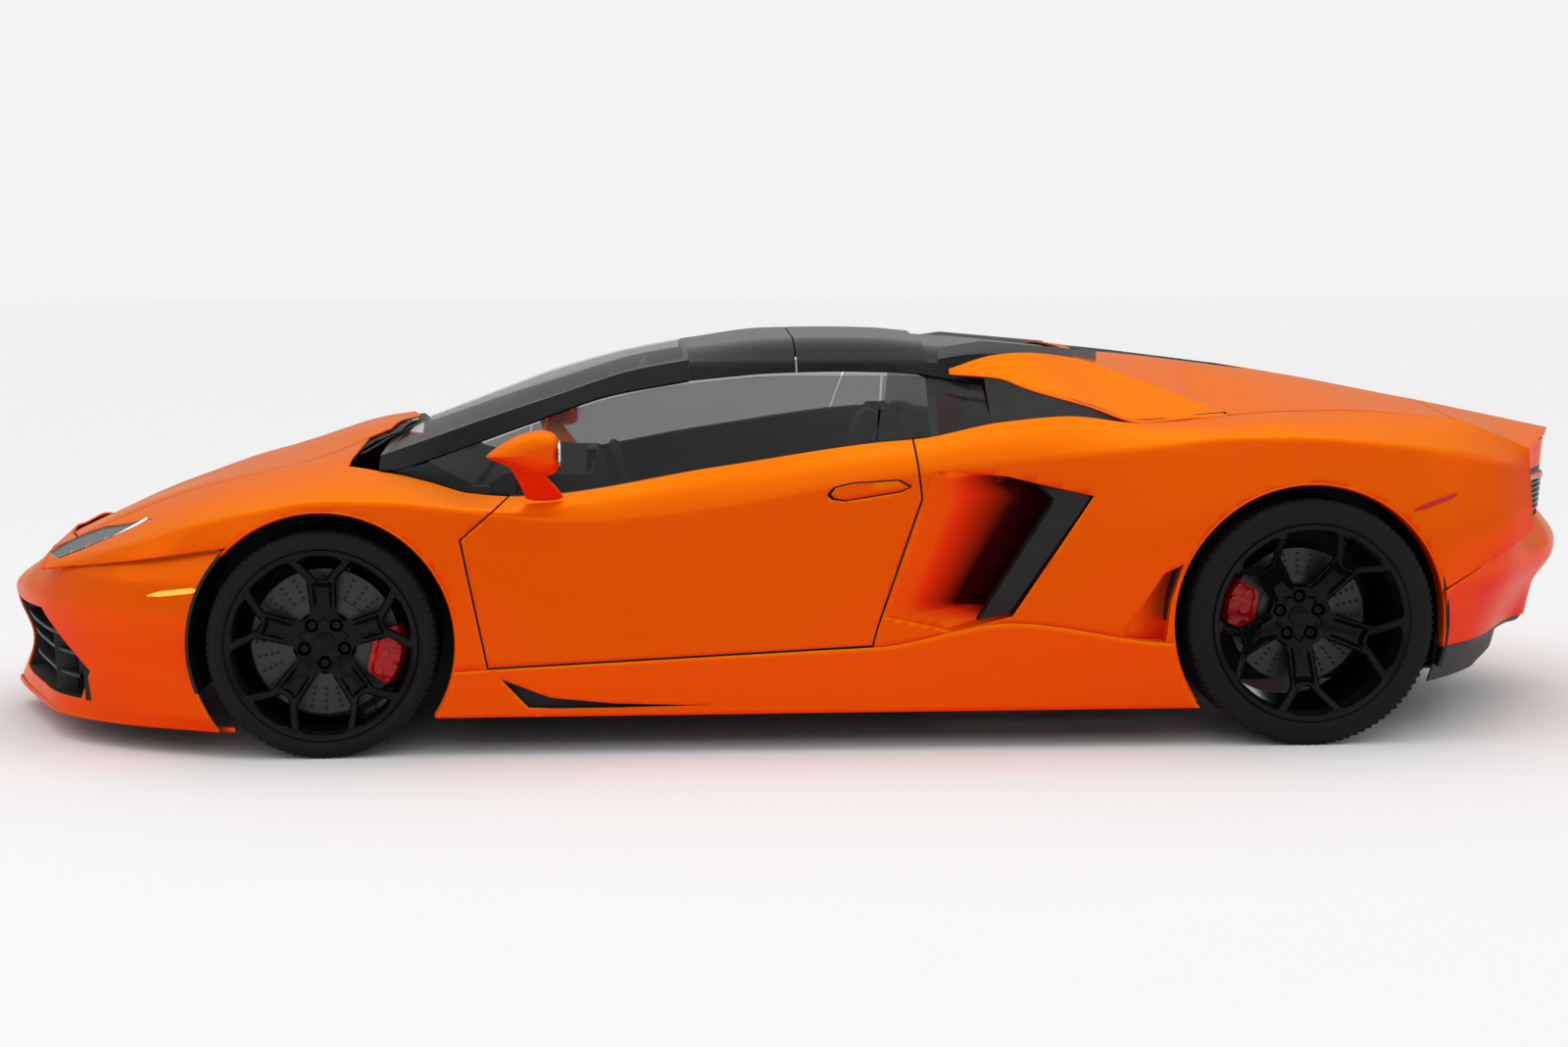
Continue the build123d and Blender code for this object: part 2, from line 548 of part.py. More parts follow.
# ---- tail panel and lamps: rows of (x, half width) along the foot of the panel, leaning back with height ----
panel_foot = ((2311, 0), (2212, 300), (2123, 450), (1960, 752))
panel_base = 560.3
panel_top = 790.0
panel_lean = 0.09
panel_wall = 12.0


def panel_row(z, proud):
    """The tail panel's plan line on one side at a height, moved out from its face."""
    row = [(x + panel_lean * (z - panel_base), -y) for x, y in panel_foot[::-1]]
    return inset(row, proud) if proud else row


with BuildPart() as rear_grille:
    sections = []
    for z in (panel_base, panel_top):
        half = [(x, -y) for x, y in panel_row(z, 0)]
        outer = half + [(x, -y) for x, y in half[-2::-1]]
        sections.append(face(Plane.XY.offset(z), outer + inset(outer, panel_wall)[::-1]))
    loft(sections, ruled=True)
    pair(1900, 2100, 690, 800, 760, 800, Mode.SUBTRACT)
    clear_of(tail_spoiler, rear_fenders)
save(rear_grille, "rear_grille")

with BuildPart() as tail_lights:
    near, far = (0.2, 0.75)
    for z0, z1 in ((672, 700),):
        sections = []
        for z in (z0, z1):
            ring = []
            for proud in (seat_gap, 12.0):
                (x0, y0), (x1, y1) = panel_row(z, proud)[:2]
                ring.append([(x0 + t * (x1 - x0), y0 + t * (y1 - y0)) for t in (near, far)])
            sections.append(face(Plane.XY.offset(z), ring[0] + ring[1][::-1]))
        loft(sections, ruled=True)
    mirror(about=Plane.XZ)
save(tail_lights, "tail_lights")

diffuser_fins = (-561, -330, -110, 110, 330, 561)
with BuildPart() as diffuser:
    bar(1760, 2150, -640, 640, 150, 162)
    for y in diffuser_fins:
        prism(Plane.XZ.offset(-y), ((1760, 152), (2170, 152), (2210, 258), (2160, 258), (1895, 199.7), (1760, 199.7)), 6)
save(diffuser, "diffuser")

with BuildPart() as exhaust:
    bar(2120, 2300, -110, 110, 350, 430)
    bar(2150, 2310, -98, 98, 362, 418, Mode.SUBTRACT)
    bar(1890, 2120.1, -60, 60, 360, 420)
save(exhaust, "exhaust")

with BuildPart() as engine:
    bar(640, 1300, -320, 320, 260, 760)
    pair(700, 800, 319, rail_rear_y - rail_width, 300, 340)
save(engine, "engine")

# ---- running gear; wheel rows: name, axle x, half track, tyre radius, tyre width, rim radius, disc radius, hub depth, spoke turn ----
front_wheel = (front_x, half_track_front, tyre_radius_front, tyre_width_front, rim_radius_front, disc_radius_front, 34.0, 90.0)
rear_wheel = (rear_x, half_track_rear, tyre_radius_rear, tyre_width_rear, rim_radius_rear, disc_radius_rear, 0.0, 54.0)
wheels = (
    ("front_left", -1, front_wheel), ("front_right", 1, front_wheel),
    ("rear_left", -1, rear_wheel), ("rear_right", 1, rear_wheel),
)
bead_depth = 9.0
barrel_wall = 9.0
spoke_count = 5
spoke_width = 46.0
hub_radius = 84.0
pad_depth = 22.0
for name, sign, (x, half_track, radius, width, rim_radius, disc_radius, hub_offset, turn) in wheels:
    axle = Plane((x, 0, radius), x_dir=(1, 0, 0), z_dir=(0, sign, 0))
    seat_radius = rim_radius - bead_depth
    inner = half_track - width / 2
    outer = half_track + width / 2
    hub_in = half_track + hub_offset
    with BuildPart() as tyre:
        with BuildSketch(Plane((x, 0, radius), x_dir=(0, sign, 0), z_dir=(1, 0, 0))):
            with BuildLine():
                Polyline(
                    (inner + 6, seat_radius), (inner + 4, rim_radius + 4), (inner, rim_radius + 22),
                    (inner + 12, radius - 10), (inner + 32, radius), (outer - 32, radius), (outer - 12, radius - 10),
                    (outer, rim_radius + 22), (outer - 4, rim_radius + 4), (outer - 6, seat_radius), close=True,
                )
            make_face()
        revolve(axis=Axis((x, 0, radius), (0, 1, 0)))
    save(tyre, f"tyre_{name}")
    with BuildPart() as rim:
        with BuildSketch(axle.offset(inner + 6)):
            Circle(seat_radius)
            Circle(seat_radius - barrel_wall, mode=Mode.SUBTRACT)
        extrude(amount=width - 12)
        with BuildSketch(axle.offset(hub_in)):
            Circle(hub_radius)
        extrude(amount=pad_depth)
        for step in range(spoke_count):
            turned = radians(turn + step * 360 / spoke_count)
            blade = Plane((x, 0, radius), x_dir=(cos(turned), 0, sin(turned)), z_dir=(-sign * sin(turned), 0, sign * cos(turned)))
            run = (
                (spindle_radius + 16, hub_in), (spindle_radius + 16, hub_in + pad_depth),
                (seat_radius - 4, outer - 14), (seat_radius - 4, outer - 44),
            )
            prism(blade, run, spoke_width / 2)
        with BuildSketch(axle.offset(hub_in - 1)):
            Circle(spindle_radius + pin_gap)
        extrude(amount=14, mode=Mode.SUBTRACT)
    save(rim, f"rim_{name}")
    disc_in = hub_in - 6 - disc_thickness
    with BuildPart() as brake_disc:
        with BuildSketch(axle.offset(disc_in)):
            Circle(disc_radius)
            Circle(disc_radius - 78, mode=Mode.SUBTRACT)
        extrude(amount=disc_thickness)
        with BuildSketch(axle.offset(hub_in - 12)):
            Circle(disc_radius - 76)
            Circle(spindle_radius + pin_gap, mode=Mode.SUBTRACT)
        extrude(amount=12)
    save(brake_disc, f"brake_disc_{name}")


# ---- uprights, calipers and arms ----
plate_depth = 50.0
plate_half_height = 150.0
plate_half_width = 40.0
caliper_gap = 6.0
arm_thickness = 22.0
arm_leg = 26.0
arm_spread = 110.0
kingpin_length = 30.0


def hub_planes(sign, wheel):
    """Axle plane, hub face and outer face of the knuckle plate, as offsets from the car's middle."""
    x, half_track, radius, width, rim_radius, disc_radius, hub_offset, turn = wheel
    axle = Plane((x, 0, radius), x_dir=(1, 0, 0), z_dir=(0, sign, 0))
    hub_in = half_track + hub_offset
    return axle, hub_in, hub_in - 6 - disc_thickness - caliper_gap


def upright(sign, wheel, turn, bored):
    """Knuckle plate with its spindle and caliper lug; a steered one is bored for its two pins."""
    axle, hub_in, plate_out = hub_planes(sign, wheel)
    lug_end = wheel[5] - 66
    with BuildSketch(axle.offset(plate_out - plate_depth)) as plate:
        Rectangle(2 * plate_half_width, 2 * plate_half_height)
        with Locations(Location((0, 0, 0), (0, 0, turn))):
            with Locations((lug_end / 2, 0)):
                Rectangle(lug_end, 70)
    extrude(plate.sketch, amount=plate_depth)
    with BuildSketch(axle.offset(plate_out - 1)) as spindle:
        Circle(spindle_radius)
    extrude(spindle.sketch, amount=hub_in + 10 - plate_out)
    if bored:
        for end in (-1, 1):
            with BuildSketch(Plane.XY.offset(wheel[2] + end * (plate_half_height - kingpin_length))) as bore:
                with Locations((wheel[0], sign * (plate_out - plate_depth / 2))):
                    Circle(kingpin_radius + pin_gap)
            extrude(bore.sketch, amount=end * (kingpin_length + 1), mode=Mode.SUBTRACT)


def caliper(sign, wheel, turn, wrap):
    """Block round the disc's rim, on the knuckle plate's side of the wheel."""
    axle, hub_in, plate_out = hub_planes(sign, wheel)
    disc_radius = wheel[5]
    with BuildSketch(axle.offset(plate_out - 12)) as block:
        with Locations(Location((0, 0, 0), (0, 0, turn))):
            with Locations((disc_radius - 24, 0)):
                Rectangle(100, wrap)
    with BuildSketch(axle.offset(plate_out + caliper_gap - 4)) as slot:
        Circle(disc_radius + 6)
    body = extrude(block.sketch, amount=disc_thickness + caliper_gap + 32, mode=Mode.PRIVATE)
    add(body - extrude(slot.sketch, amount=disc_thickness + 8, mode=Mode.PRIVATE))


def arms(sign, wheel, rail_y, pinned):
    """Upper and lower wishbone from the chassis rail to the knuckle."""
    axle, hub_in, plate_out = hub_planes(sign, wheel)
    x, radius = wheel[0], wheel[2]
    pin_y = plate_out - plate_depth / 2
    for end in (-1, 1):
        level = Plane.XY.offset(radius + end * (plate_half_height + seat_gap))
        for leg in (-1, 1):
            corners = (
                (x + leg * (arm_spread - arm_leg), sign * rail_y), (x + leg * (arm_spread + arm_leg), sign * rail_y),
                (x + leg * arm_leg, sign * pin_y), (x - leg * arm_leg, sign * pin_y),
            )
            extrude(face(level, corners), amount=end * arm_thickness)
        with BuildSketch(level) as eye:
            with Locations((x, sign * pin_y)):
                Circle(arm_leg)
        extrude(eye.sketch, amount=end * arm_thickness)
        if pinned:
            with BuildSketch(level) as pin:
                with Locations((x, sign * pin_y)):
                    Circle(kingpin_radius)
            extrude(pin.sketch, amount=-end * (kingpin_length - 4))


front_caliper_turn = -12.0
rear_caliper_turn = 172.0
for side, sign in sides:
    with BuildPart() as knuckle_front:
        upright(sign, front_wheel, -sign * front_caliper_turn, True)
    save(knuckle_front, f"knuckle_front_{side}")
    with BuildPart() as caliper_front:
        caliper(sign, front_wheel, -sign * front_caliper_turn, 150)
        clear_of(knuckle_front)
    save(caliper_front, f"caliper_front_{side}")
with BuildPart() as rear_uprights:
    for side, sign in sides:
        upright(sign, rear_wheel, -sign * rear_caliper_turn, False)
save(rear_uprights, "rear_uprights")
with BuildPart() as rear_calipers:
    for side, sign in sides:
        caliper(sign, rear_wheel, -sign * rear_caliper_turn, 150)
    clear_of(rear_uprights)
save(rear_calipers, "rear_calipers")
with BuildPart() as front_arms:
    for side, sign in sides:
        arms(sign, front_wheel, rail_front_y, True)
save(front_arms, "front_arms")
with BuildPart() as rear_arms:
    for side, sign in sides:
        arms(sign, rear_wheel, rail_rear_y, False)
save(rear_arms, "rear_arms")

# ---- cabin ----
seat_y = 360.0
seat_half_width = 235.0
cabin_floor = floor_z + floor_thickness + seat_gap
seat_outline = ((-290, cabin_floor), (-290, 300), (60, 255), (235, 900), (325, 880), (190, cabin_floor))
for side, sign in sides:
    with BuildPart() as seat:
        prism(Plane.XZ.offset(-sign * seat_y), seat_outline, seat_half_width)
    save(seat, f"seat_{side}")

with BuildPart() as dashboard:
    prism(Plane.XZ, ((cabin_front + seat_gap, 480), (cabin_front + seat_gap, 690), (-860, 745), (-620, 735), (-590, 640), (-640, 480)), 640)
save(dashboard, "dashboard")

with BuildPart() as centre_console:
    prism(Plane.XZ, ((-930, cabin_floor), (-930, 460), (-645, 460), (-560, 420), (-200, 330), (300, 330), (300, cabin_floor)), 105)
save(centre_console, "centre_console")

wheel_plane = Plane((-500, -seat_y, 650), x_dir=(0, 1, 0), z_dir=(cos(radians(22)), 0, sin(radians(22))))
with BuildPart() as steering_wheel:
    with BuildSketch(wheel_plane.offset(-14)):
        Circle(180)
        Circle(152, mode=Mode.SUBTRACT)
        Circle(52)
        Rectangle(320, 44)
    extrude(amount=28)
    with BuildSketch(wheel_plane.offset(-13)):
        Circle(26)
    extrude(amount=-110)
    clear_of(dashboard)
save(steering_wheel, "steering_wheel")

with BuildPart() as cowl:
    prism(Plane.XZ, (
        (cabin_front, 690), (cabin_front - 25, 690), (cabin_front - 25.3, 640), (-1000, 640), (-1160, 745),
        (-1160, 775), (-1120, 800), (-1000, 735), (cabin_front, 712),
    ), 640)
    for sign in (-1, 1):
        prism(Plane.XZ.offset(-sign * 90), ((-1150, 770), (-1100, 785), (-1112, hood_hinge_z + 8), (-1138, hood_hinge_z + 8)), 8)
        with Locations(Plane((hood_hinge_x, sign * 78, hood_hinge_z), z_dir=(0, 1, 0))):
            Cylinder(lid_pin_radius, 36)
    clear_of(tub, dashboard, windshield)
save(cowl, "cowl")

with BuildPart() as luggage_tray:
    bar(-1900, -1020, -426.6, 426.6, 196, 600)
    bar(-1893, -1027, -420, 420, 203, 601, Mode.SUBTRACT)
save(luggage_tray, "luggage_tray")

with BuildPart() as hinge_posts:
    for sign in (-1, 1):
        bar(cabin_front, -908, min(sign * 701, sign * 760), max(sign * 701, sign * 760), 300, 716)
        with BuildSketch(hinge_plane(sign).offset(-hinge_pin_start)):
            Circle(hinge_pin_radius)
        extrude(amount=hinge_pin_length)
        bar(735, 796, sign * 335 - 6, sign * 335 + 6, 1012, 1070)
        with Locations(Plane((cover_hinge_x, sign * 350, cover_hinge_z), z_dir=(0, 1, 0))):
            Cylinder(lid_pin_radius, 24)
    clear_of(tub, rear_hoop)
save(hinge_posts, "hinge_posts")

with BuildPart() as intake_blades:
    prism(Plane.XY.offset(560), ((305, -934), (640, -800), (640, -788), (305, -920)), 190)
    prism(Plane.XZ.offset(960), ((603, 726), (751, 693), (525, 368), (460, 359), (640, 690)), 24)
    clear_of(rear_fenders, side_sills)
    mirror(about=Plane.XZ)
save(intake_blades, "intake_blades")
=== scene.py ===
import math

import bmesh
import bpy
import numpy as np
from bpy.props import FloatVectorProperty, IntProperty, PointerProperty
from mathutils import Matrix, Vector


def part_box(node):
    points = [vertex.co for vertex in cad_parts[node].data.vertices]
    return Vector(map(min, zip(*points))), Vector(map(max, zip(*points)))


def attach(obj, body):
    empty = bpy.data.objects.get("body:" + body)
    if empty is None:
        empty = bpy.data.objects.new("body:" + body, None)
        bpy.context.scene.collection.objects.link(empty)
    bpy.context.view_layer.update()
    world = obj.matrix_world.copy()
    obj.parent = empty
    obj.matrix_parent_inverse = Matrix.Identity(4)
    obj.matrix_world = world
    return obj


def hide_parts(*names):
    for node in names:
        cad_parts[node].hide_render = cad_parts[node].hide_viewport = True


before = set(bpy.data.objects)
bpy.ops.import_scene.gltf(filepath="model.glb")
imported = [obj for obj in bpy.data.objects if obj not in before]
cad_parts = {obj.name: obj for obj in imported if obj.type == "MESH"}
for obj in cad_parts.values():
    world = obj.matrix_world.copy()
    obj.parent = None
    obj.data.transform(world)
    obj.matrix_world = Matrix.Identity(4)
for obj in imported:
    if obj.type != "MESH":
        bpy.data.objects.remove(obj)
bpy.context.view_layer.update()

bl_info = {
    "name": "Supercar looks",
    "version": (1, 0, 0),
    "blender": (4, 5, 0),
    "location": "3D View > Sidebar > Supercar",
    "description": "Builds the painted body, glass, wheels, lamps and cabin of a low supercar on its frame",
    "category": "Object",
}

# Lengths in this file are millimetres unless a comment says metres; MM turns them into Blender's metres.
# Nose towards -X, tail towards +X, the car's own left side at -Y, ground at Z = 0.
MM = 0.001
SIDES = (("left", -1), ("right", 1))

FRONT_AXLE = (-1350.0, 309.0)
REAR_AXLE = (1350.0, 340.0)
FRONT_ARCH = 363.0
REAR_ARCH = 384.0
ARCHES = ((FRONT_AXLE, FRONT_ARCH), (REAR_AXLE, REAR_ARCH))
HALF_SHUT = 2.25
SKIN = 5.0
SIDE_START, SIDE_END, HOOD_REAR = -2180, 2073, -1130

# Character lines of the body side: rows of (station x, half width, height).
TOP = (
    (-2180, 488, 516), (-2050, 540, 583), (-1940, 578, 630), (-1826, 612, 676), (-1675, 652, 724),
    (-1520, 692, 760), (-1345, 745, 776), (-1170, 792, 759), (-1067, 820, 737), (-950, 855, 707),
    (-830, 872, 699), (-272, 880, 776), (160, 872, 837), (285, 880, 848), (516, 870, 891), (700, 866, 905),
    (906, 858, 884), (1154, 812, 900), (1309, 802, 909), (1483, 787, 910), (1686, 762, 895),
    (1832, 737, 878), (1950, 705, 838), (2073, 650, 789),
)
SHOULDER = (
    (-2180, 545, 500), (-2050, 640, 548), (-1940, 705, 588), (-1826, 765, 640), (-1675, 820, 690),
    (-1520, 850, 722), (-1345, 872, 740), (-1170, 890, 728), (-950, 905, 690), (-830, 915, 680),
    (-272, 925, 725), (160, 925, 795), (516, 925, 840), (906, 915, 862), (1154, 900, 885), (1309, 890, 893),
    (1483, 875, 885), (1686, 840, 865), (1832, 790, 845), (1950, 740, 805), (2073, 656, 765),
)
CREASE = (
    (-2180, 575, 488), (-2050, 700, 525), (-1940, 790, 560), (-1826, 860, 592), (-1675, 925, 640),
    (-1520, 958, 675), (-1345, 968, 700), (-1170, 962, 695), (-950, 955, 672), (-656, 945, 643),
    (350, 952, 775), (906, 958, 824), (1154, 972, 850), (1309, 976, 850), (1483, 968, 838),
    (1686, 925, 812), (1832, 865, 790), (1950, 795, 760), (2073, 664, 735),
)
FLANK = (
    (-2180, 590, 478), (-2119, 650, 491), (-1940, 812, 519), (-1826, 884, 537), (-1675, 944, 561),
    (-1600, 972, 573), (-1520, 982, 575), (-1345, 986, 560), (-1170, 985, 520), (-950, 975, 480),
    (-656, 968, 440), (160, 978, 470), (516, 985, 500), (906, 1000, 560), (1154, 1012, 620),
    (1309, 1015, 640), (1483, 1013, 620), (1686, 985, 560), (1832, 915, 560), (1950, 840, 560),
         (2073, 700, 590),
)
LOW = (
    (-1675, 965, 250), (-1060, 982, 232), (-904, 983.5, 238.9), (-600, 984.8, 252.9), (-300, 986, 266.8),
       (0, 987.3, 280.6),
    (160, 988, 288), (516, 998, 350), (990, 1006, 290),
    (1686, 990, 330), (1832, 900, 380), (1950, 800, 430), (2073, 690, 470),
)
DOOR_SIDE = (
    (-826, 716), (-975, 589), (-904, 240), (143, 289), (159, 347), (282, 689), (262, 870), (262, 1200),
             (-826, 1200),
)
HOOD_PLAN = (
    (-2175, 0), (-2150, 300), (-2091, 520), (-1993, 560), (-1861, 600), (-1712, 640), (-1561, 680),
    (-1430, 640), (-1342, 560), (-1210, 350), (-1155, 0),
)
LAMP_PLAN = ((-2176, 500), (-2130, 600), (-2054, 652), (-1830, 756), (-1999, 580), (-2085, 530), (-2150, 480))
COVER_PLAN = (
    (766, 0), (766, 560), (900, 640), (1028, 720), (1154, 808), (1309, 800), (1483, 785), (1686, 760),
              (1828, 735), (1828, 0),
)
INTAKE_SIDE = ((310, 757), (349, 763), (516, 748), (603, 726), (751, 693), (525, 368), (366, 327), (175, 369),
               (290, 690))


# ---------------------------------------------------------------- numeric helpers

def smooth_at(rows, stations, column):
    """One column of a character line at many stations, on a smooth curve with no overshoot."""
    xs = np.array([r[0] for r in rows], float)
    ys = np.array([r[column] for r in rows], float)
    step, rise = np.diff(xs), np.diff(ys)
    slope = rise / step
    tangent = np.zeros(len(xs))
    same = slope[:-1] * slope[1:] > 0
    w1, w2 = 2 * step[1:] + step[:-1], step[1:] + 2 * step[:-1]
    with np.errstate(divide="ignore", invalid="ignore"):
        mean = (w1 + w2) / (w1 / slope[:-1] + w2 / slope[1:])
    tangent[1:-1] = np.where(same, mean, 0.0)
    tangent[0], tangent[-1] = slope[0], slope[-1]
    x = np.clip(np.asarray(stations, float), xs[0], xs[-1])
    i = np.clip(np.searchsorted(xs, x, side="right") - 1, 0, len(xs) - 2)
    t = (x - xs[i]) / step[i]
    h = step[i]
    return ((1 + 2 * t) * (1 - t) ** 2 * ys[i] + t * (1 - t) ** 2 * h * tangent[i]
            + t * t * (3 - 2 * t) * ys[i + 1] + t * t * (t - 1) * h * tangent[i + 1])


def rounded_sections(lines, radii, steps=9, corner=5):
    """Points down a row of sections whose corners lie on the lines, rounded by a radius at each inner line.
    lines is an array (line, station, 3); the result is an array (station, point, 3)."""
    lines = np.asarray(lines, float)
    count = len(lines)
    out = []
    leave = lines[0]
    for i in range(1, count):
        here = lines[i]
        before = here - lines[i - 1]
        reach = np.linalg.norm(before, axis=1, keepdims=True)
        if i < count - 1:
            after = lines[i + 1] - here
            onward = np.linalg.norm(after, axis=1, keepdims=True)
            radius = np.minimum(radii[i - 1], 0.48 * np.minimum(reach, onward))
            enter = here - before / np.maximum(reach, 1e-6) * radius
            exit_ = here + after / np.maximum(onward, 1e-6) * radius
        else:
            enter = exit_ = here
        for t in np.linspace(0, 1, steps, endpoint=False):
            out.append(leave + (enter - leave) * t)
        if i < count - 1:
            for t in np.linspace(0, 1, corner, endpoint=False):
                out.append((1 - t) ** 2 * enter + 2 * t * (1 - t) * here + t * t * exit_)
        leave = exit_
    out.append(lines[-1])
    return np.stack(out, axis=1)


def line_points(rows, stations, sign=-1):
    """A (x, half width, height) line as points at many stations on one side of the car."""
    x = np.asarray(stations, float)
    return np.stack([x, sign * smooth_at(rows, x, 1), smooth_at(rows, x, 2)], axis=1)


def inside(points, outline):
    """Which 2-D points lie inside a closed outline."""
    x, y = points[:, 0], points[:, 1]
    result = np.zeros(len(points), bool)
    corners = np.asarray(outline, float)
    for (x0, y0), (x1, y1) in zip(corners, np.roll(corners, -1, axis=0)):
        crosses = (y0 > y) != (y1 > y)
        with np.errstate(divide="ignore", invalid="ignore"):
            result ^= crosses & (x < (x1 - x0) * (y - y0) / (y1 - y0) + x0)
    return result


def grown(outline, amount):
    """A closed outline moved outwards by an amount, its corners mitred."""
    p = np.asarray(outline, float)
    area = 0.5 * np.sum(p[:, 0] * np.roll(p[:, 1], -1) - np.roll(p[:, 0], -1) * p[:, 1])
    if area < 0:
        p = p[::-1]
    ahead = np.roll(p, -1, axis=0) - p
    ahead /= np.linalg.norm(ahead, axis=1, keepdims=True)
    normal = np.stack([ahead[:, 1], -ahead[:, 0]], axis=1)
    behind = np.roll(normal, 1, axis=0)
    both = normal + behind
    scale = amount / np.maximum(0.35, (1 + np.sum(normal * behind, axis=1)) / 2) / 2
    return p + both * scale[:, None]


def mirrored(plan):
    """A half plan outline, from the middle outwards, with its mirror image."""
    return list(plan) + [(x, -y) for x, y in plan[::-1] if y > 0]


def left_plan(plan):
    """A plan outline given on the right of the car, on its left."""
    return [(x, -y) for x, y in plan]


def hood_half(past):
    """One half of the hood's outline, closed a little past the middle."""
    return HOOD_PLAN + ((-1155, -past), (-2175, -past))


AXES = {"side": (0, 2), "plan": (0, 1), "front": (1, 2)}


class Panel:
    """A surface of flat-edged faces that can be split along outlines and shared out between pieces."""

    def __init__(self, verts, faces):
        self.verts = [np.array(v, float) for v in verts]
        self.faces = [tuple(f) for f in faces]

    def copy(self):
        return Panel(self.verts, self.faces)

    def centres(self):
        points = np.array(self.verts)
        sizes = np.array([len(f) for f in self.faces])
        flat = np.array([i for f in self.faces for i in f])
        starts = np.concatenate([[0], np.cumsum(sizes)[:-1]])
        return np.add.reduceat(points[flat], starts, axis=0) / sizes[:, None]

    def split(self, value, near=None):
        """Split faces where a signed value of the points changes sign, near one face test."""
        points = np.array(self.verts)
        signed = value(points)
        signed[np.abs(signed) < 1e-4] = 0
        signed = signed.tolist()
        picked = near(self.centres()).tolist() if near else [True] * len(self.faces)
        cuts, result = {}, []
        for chosen, f in zip(picked, self.faces):
            if not chosen:
                result.append(f)
                continue
            s = [signed[i] for i in f]
            if min(s) >= 0 or max(s) <= 0:
                result.append(f)
                continue
            ring = []
            for k, a in enumerate(f):
                b = f[(k + 1) % len(f)]
                ring.append((a, signed[a]))
                if signed[a] * signed[b] < 0:
                    key = (min(a, b), max(a, b))
                    if key not in cuts:
                        t = signed[key[0]] / (signed[key[0]] - signed[key[1]])
                        cuts[key] = len(self.verts)
                        self.verts.append(points[key[0]] + t * (points[key[1]] - points[key[0]]))
                    ring.append((cuts[key], 0.0))
            high = tuple(i for i, v in ring if v >= 0)
            low = tuple(i for i, v in ring if v <= 0)
            result += [g for g in (high, low) if len(g) > 2]
        if cuts:
            joined = []
            for f in result:
                ring = []
                for k, a in enumerate(f):
                    b = f[(k + 1) % len(f)]
                    ring.append(a)
                    new = cuts.get((min(a, b), max(a, b)))
                    if new is not None:
                        ring.append(new)
                joined.append(tuple(ring))
            result = joined
        self.faces = result
        return self

    def score(self, outline, view, margin=26.0):
        """Split along every edge of a closed outline seen in a view."""
        u, v = AXES[view]
        corners = np.asarray(outline, float)
        for a, b in zip(corners, np.roll(corners, -1, axis=0)):
            run = b - a
            length = np.linalg.norm(run)
            normal = np.array([-run[1], run[0]]) / length
            low, high = np.minimum(a, b) - margin, np.maximum(a, b) + margin

            def near(c):
                return ((c[:, u] > low[0]) & (c[:, u] < high[0]) & (c[:, v] > low[1]) & (c[:, v] < high[1]))

            self.split(lambda p: (p[:, u] - a[0]) * normal[0] + (p[:, v] - a[1]) * normal[1], near)
        return self

    def pick(self, test):
        """The faces whose centres pass a test, as a new panel."""
        chosen = test(self.centres())
        return Panel(self.verts, [f for f, c in zip(self.faces, chosen) if c])

    def within(self, outline, view):
        return self.pick(lambda c: inside(c[:, AXES[view]], outline))

    def without(self, outline, view):
        return self.pick(lambda c: ~inside(c[:, AXES[view]], outline))

    def cut(self, outline, view, margin=26.0):
        """The parts inside and outside an outline, split exactly along it."""
        self.score(outline, view, margin)
        return self.within(outline, view), self.without(outline, view)

    def clear_of(self, axle, radius):
        """The part outside a circle about an axle, split exactly along it."""
        def beyond(p):
            return np.hypot(p[:, 0] - axle[0], p[:, 2] - axle[1]) - radius

        return self.split(beyond).pick(lambda c: beyond(c) > 0)

    def moved(self, move):
        """The panel shifted by one move, or by one for each of its used points."""
        verts, faces = self.compact()
        return Panel(verts + move, faces)

    def lowered(self, depth):
        """The panel moved inwards along its normals."""
        verts, faces = self.compact()
        return Panel(verts - vertex_normals(verts, faces) * depth, faces)

    def flipped(self):
        """The mirror image on the other side of the car."""
        return Panel([v * (1, -1, 1) for v in self.verts], [f[::-1] for f in self.faces])

    def compact(self):
        used = sorted({i for f in self.faces for i in f})
        index = {old: new for new, old in enumerate(used)}
        return np.array([self.verts[i] for i in used]), [tuple(index[i] for i in f) for f in self.faces]

    def shell(self, wall, lip=1.2):
        """The panel given a thickness inwards, with a small rounded-off edge, as (verts, faces)."""
        verts, faces = self.compact()
        normals = vertex_normals(verts, faces)
        edges = {}
        for f in faces:
            for k, a in enumerate(f):
                b = f[(k + 1) % len(f)]
                edges[(a, b)] = edges.get((a, b), 0) + 1
        rim = [(a, b) for a, b in edges if (b, a) not in edges]
        outer = verts.copy()
        count = len(verts)
        inner = verts - normals * wall
        on_rim = sorted({i for e in rim for i in e})
        middle = {i: 2 * count + k for k, i in enumerate(on_rim)}
        low = np.array([verts[i] - normals[i] * lip for i in on_rim]).reshape(-1, 3)
        all_faces = list(faces) + [tuple(i + count for i in f[::-1]) for f in faces]
        for a, b in rim:
            all_faces.append((b, a, middle[a], middle[b]))
            all_faces.append((middle[b], middle[a], a + count, b + count))
        return np.concatenate([outer, inner, low]), all_faces


def vertex_normals(verts, faces):
    """Area-weighted normals at the vertices."""
    normals = np.zeros_like(verts)
    for f in faces:
        p = verts[list(f)]
        n = np.zeros(3)
        for k in range(1, len(f) - 1):
            n += np.cross(p[k] - p[0], p[k + 1] - p[0])
        for i in f:
            normals[i] += n
    return normals / np.maximum(np.linalg.norm(normals, axis=1, keepdims=True), 1e-9)


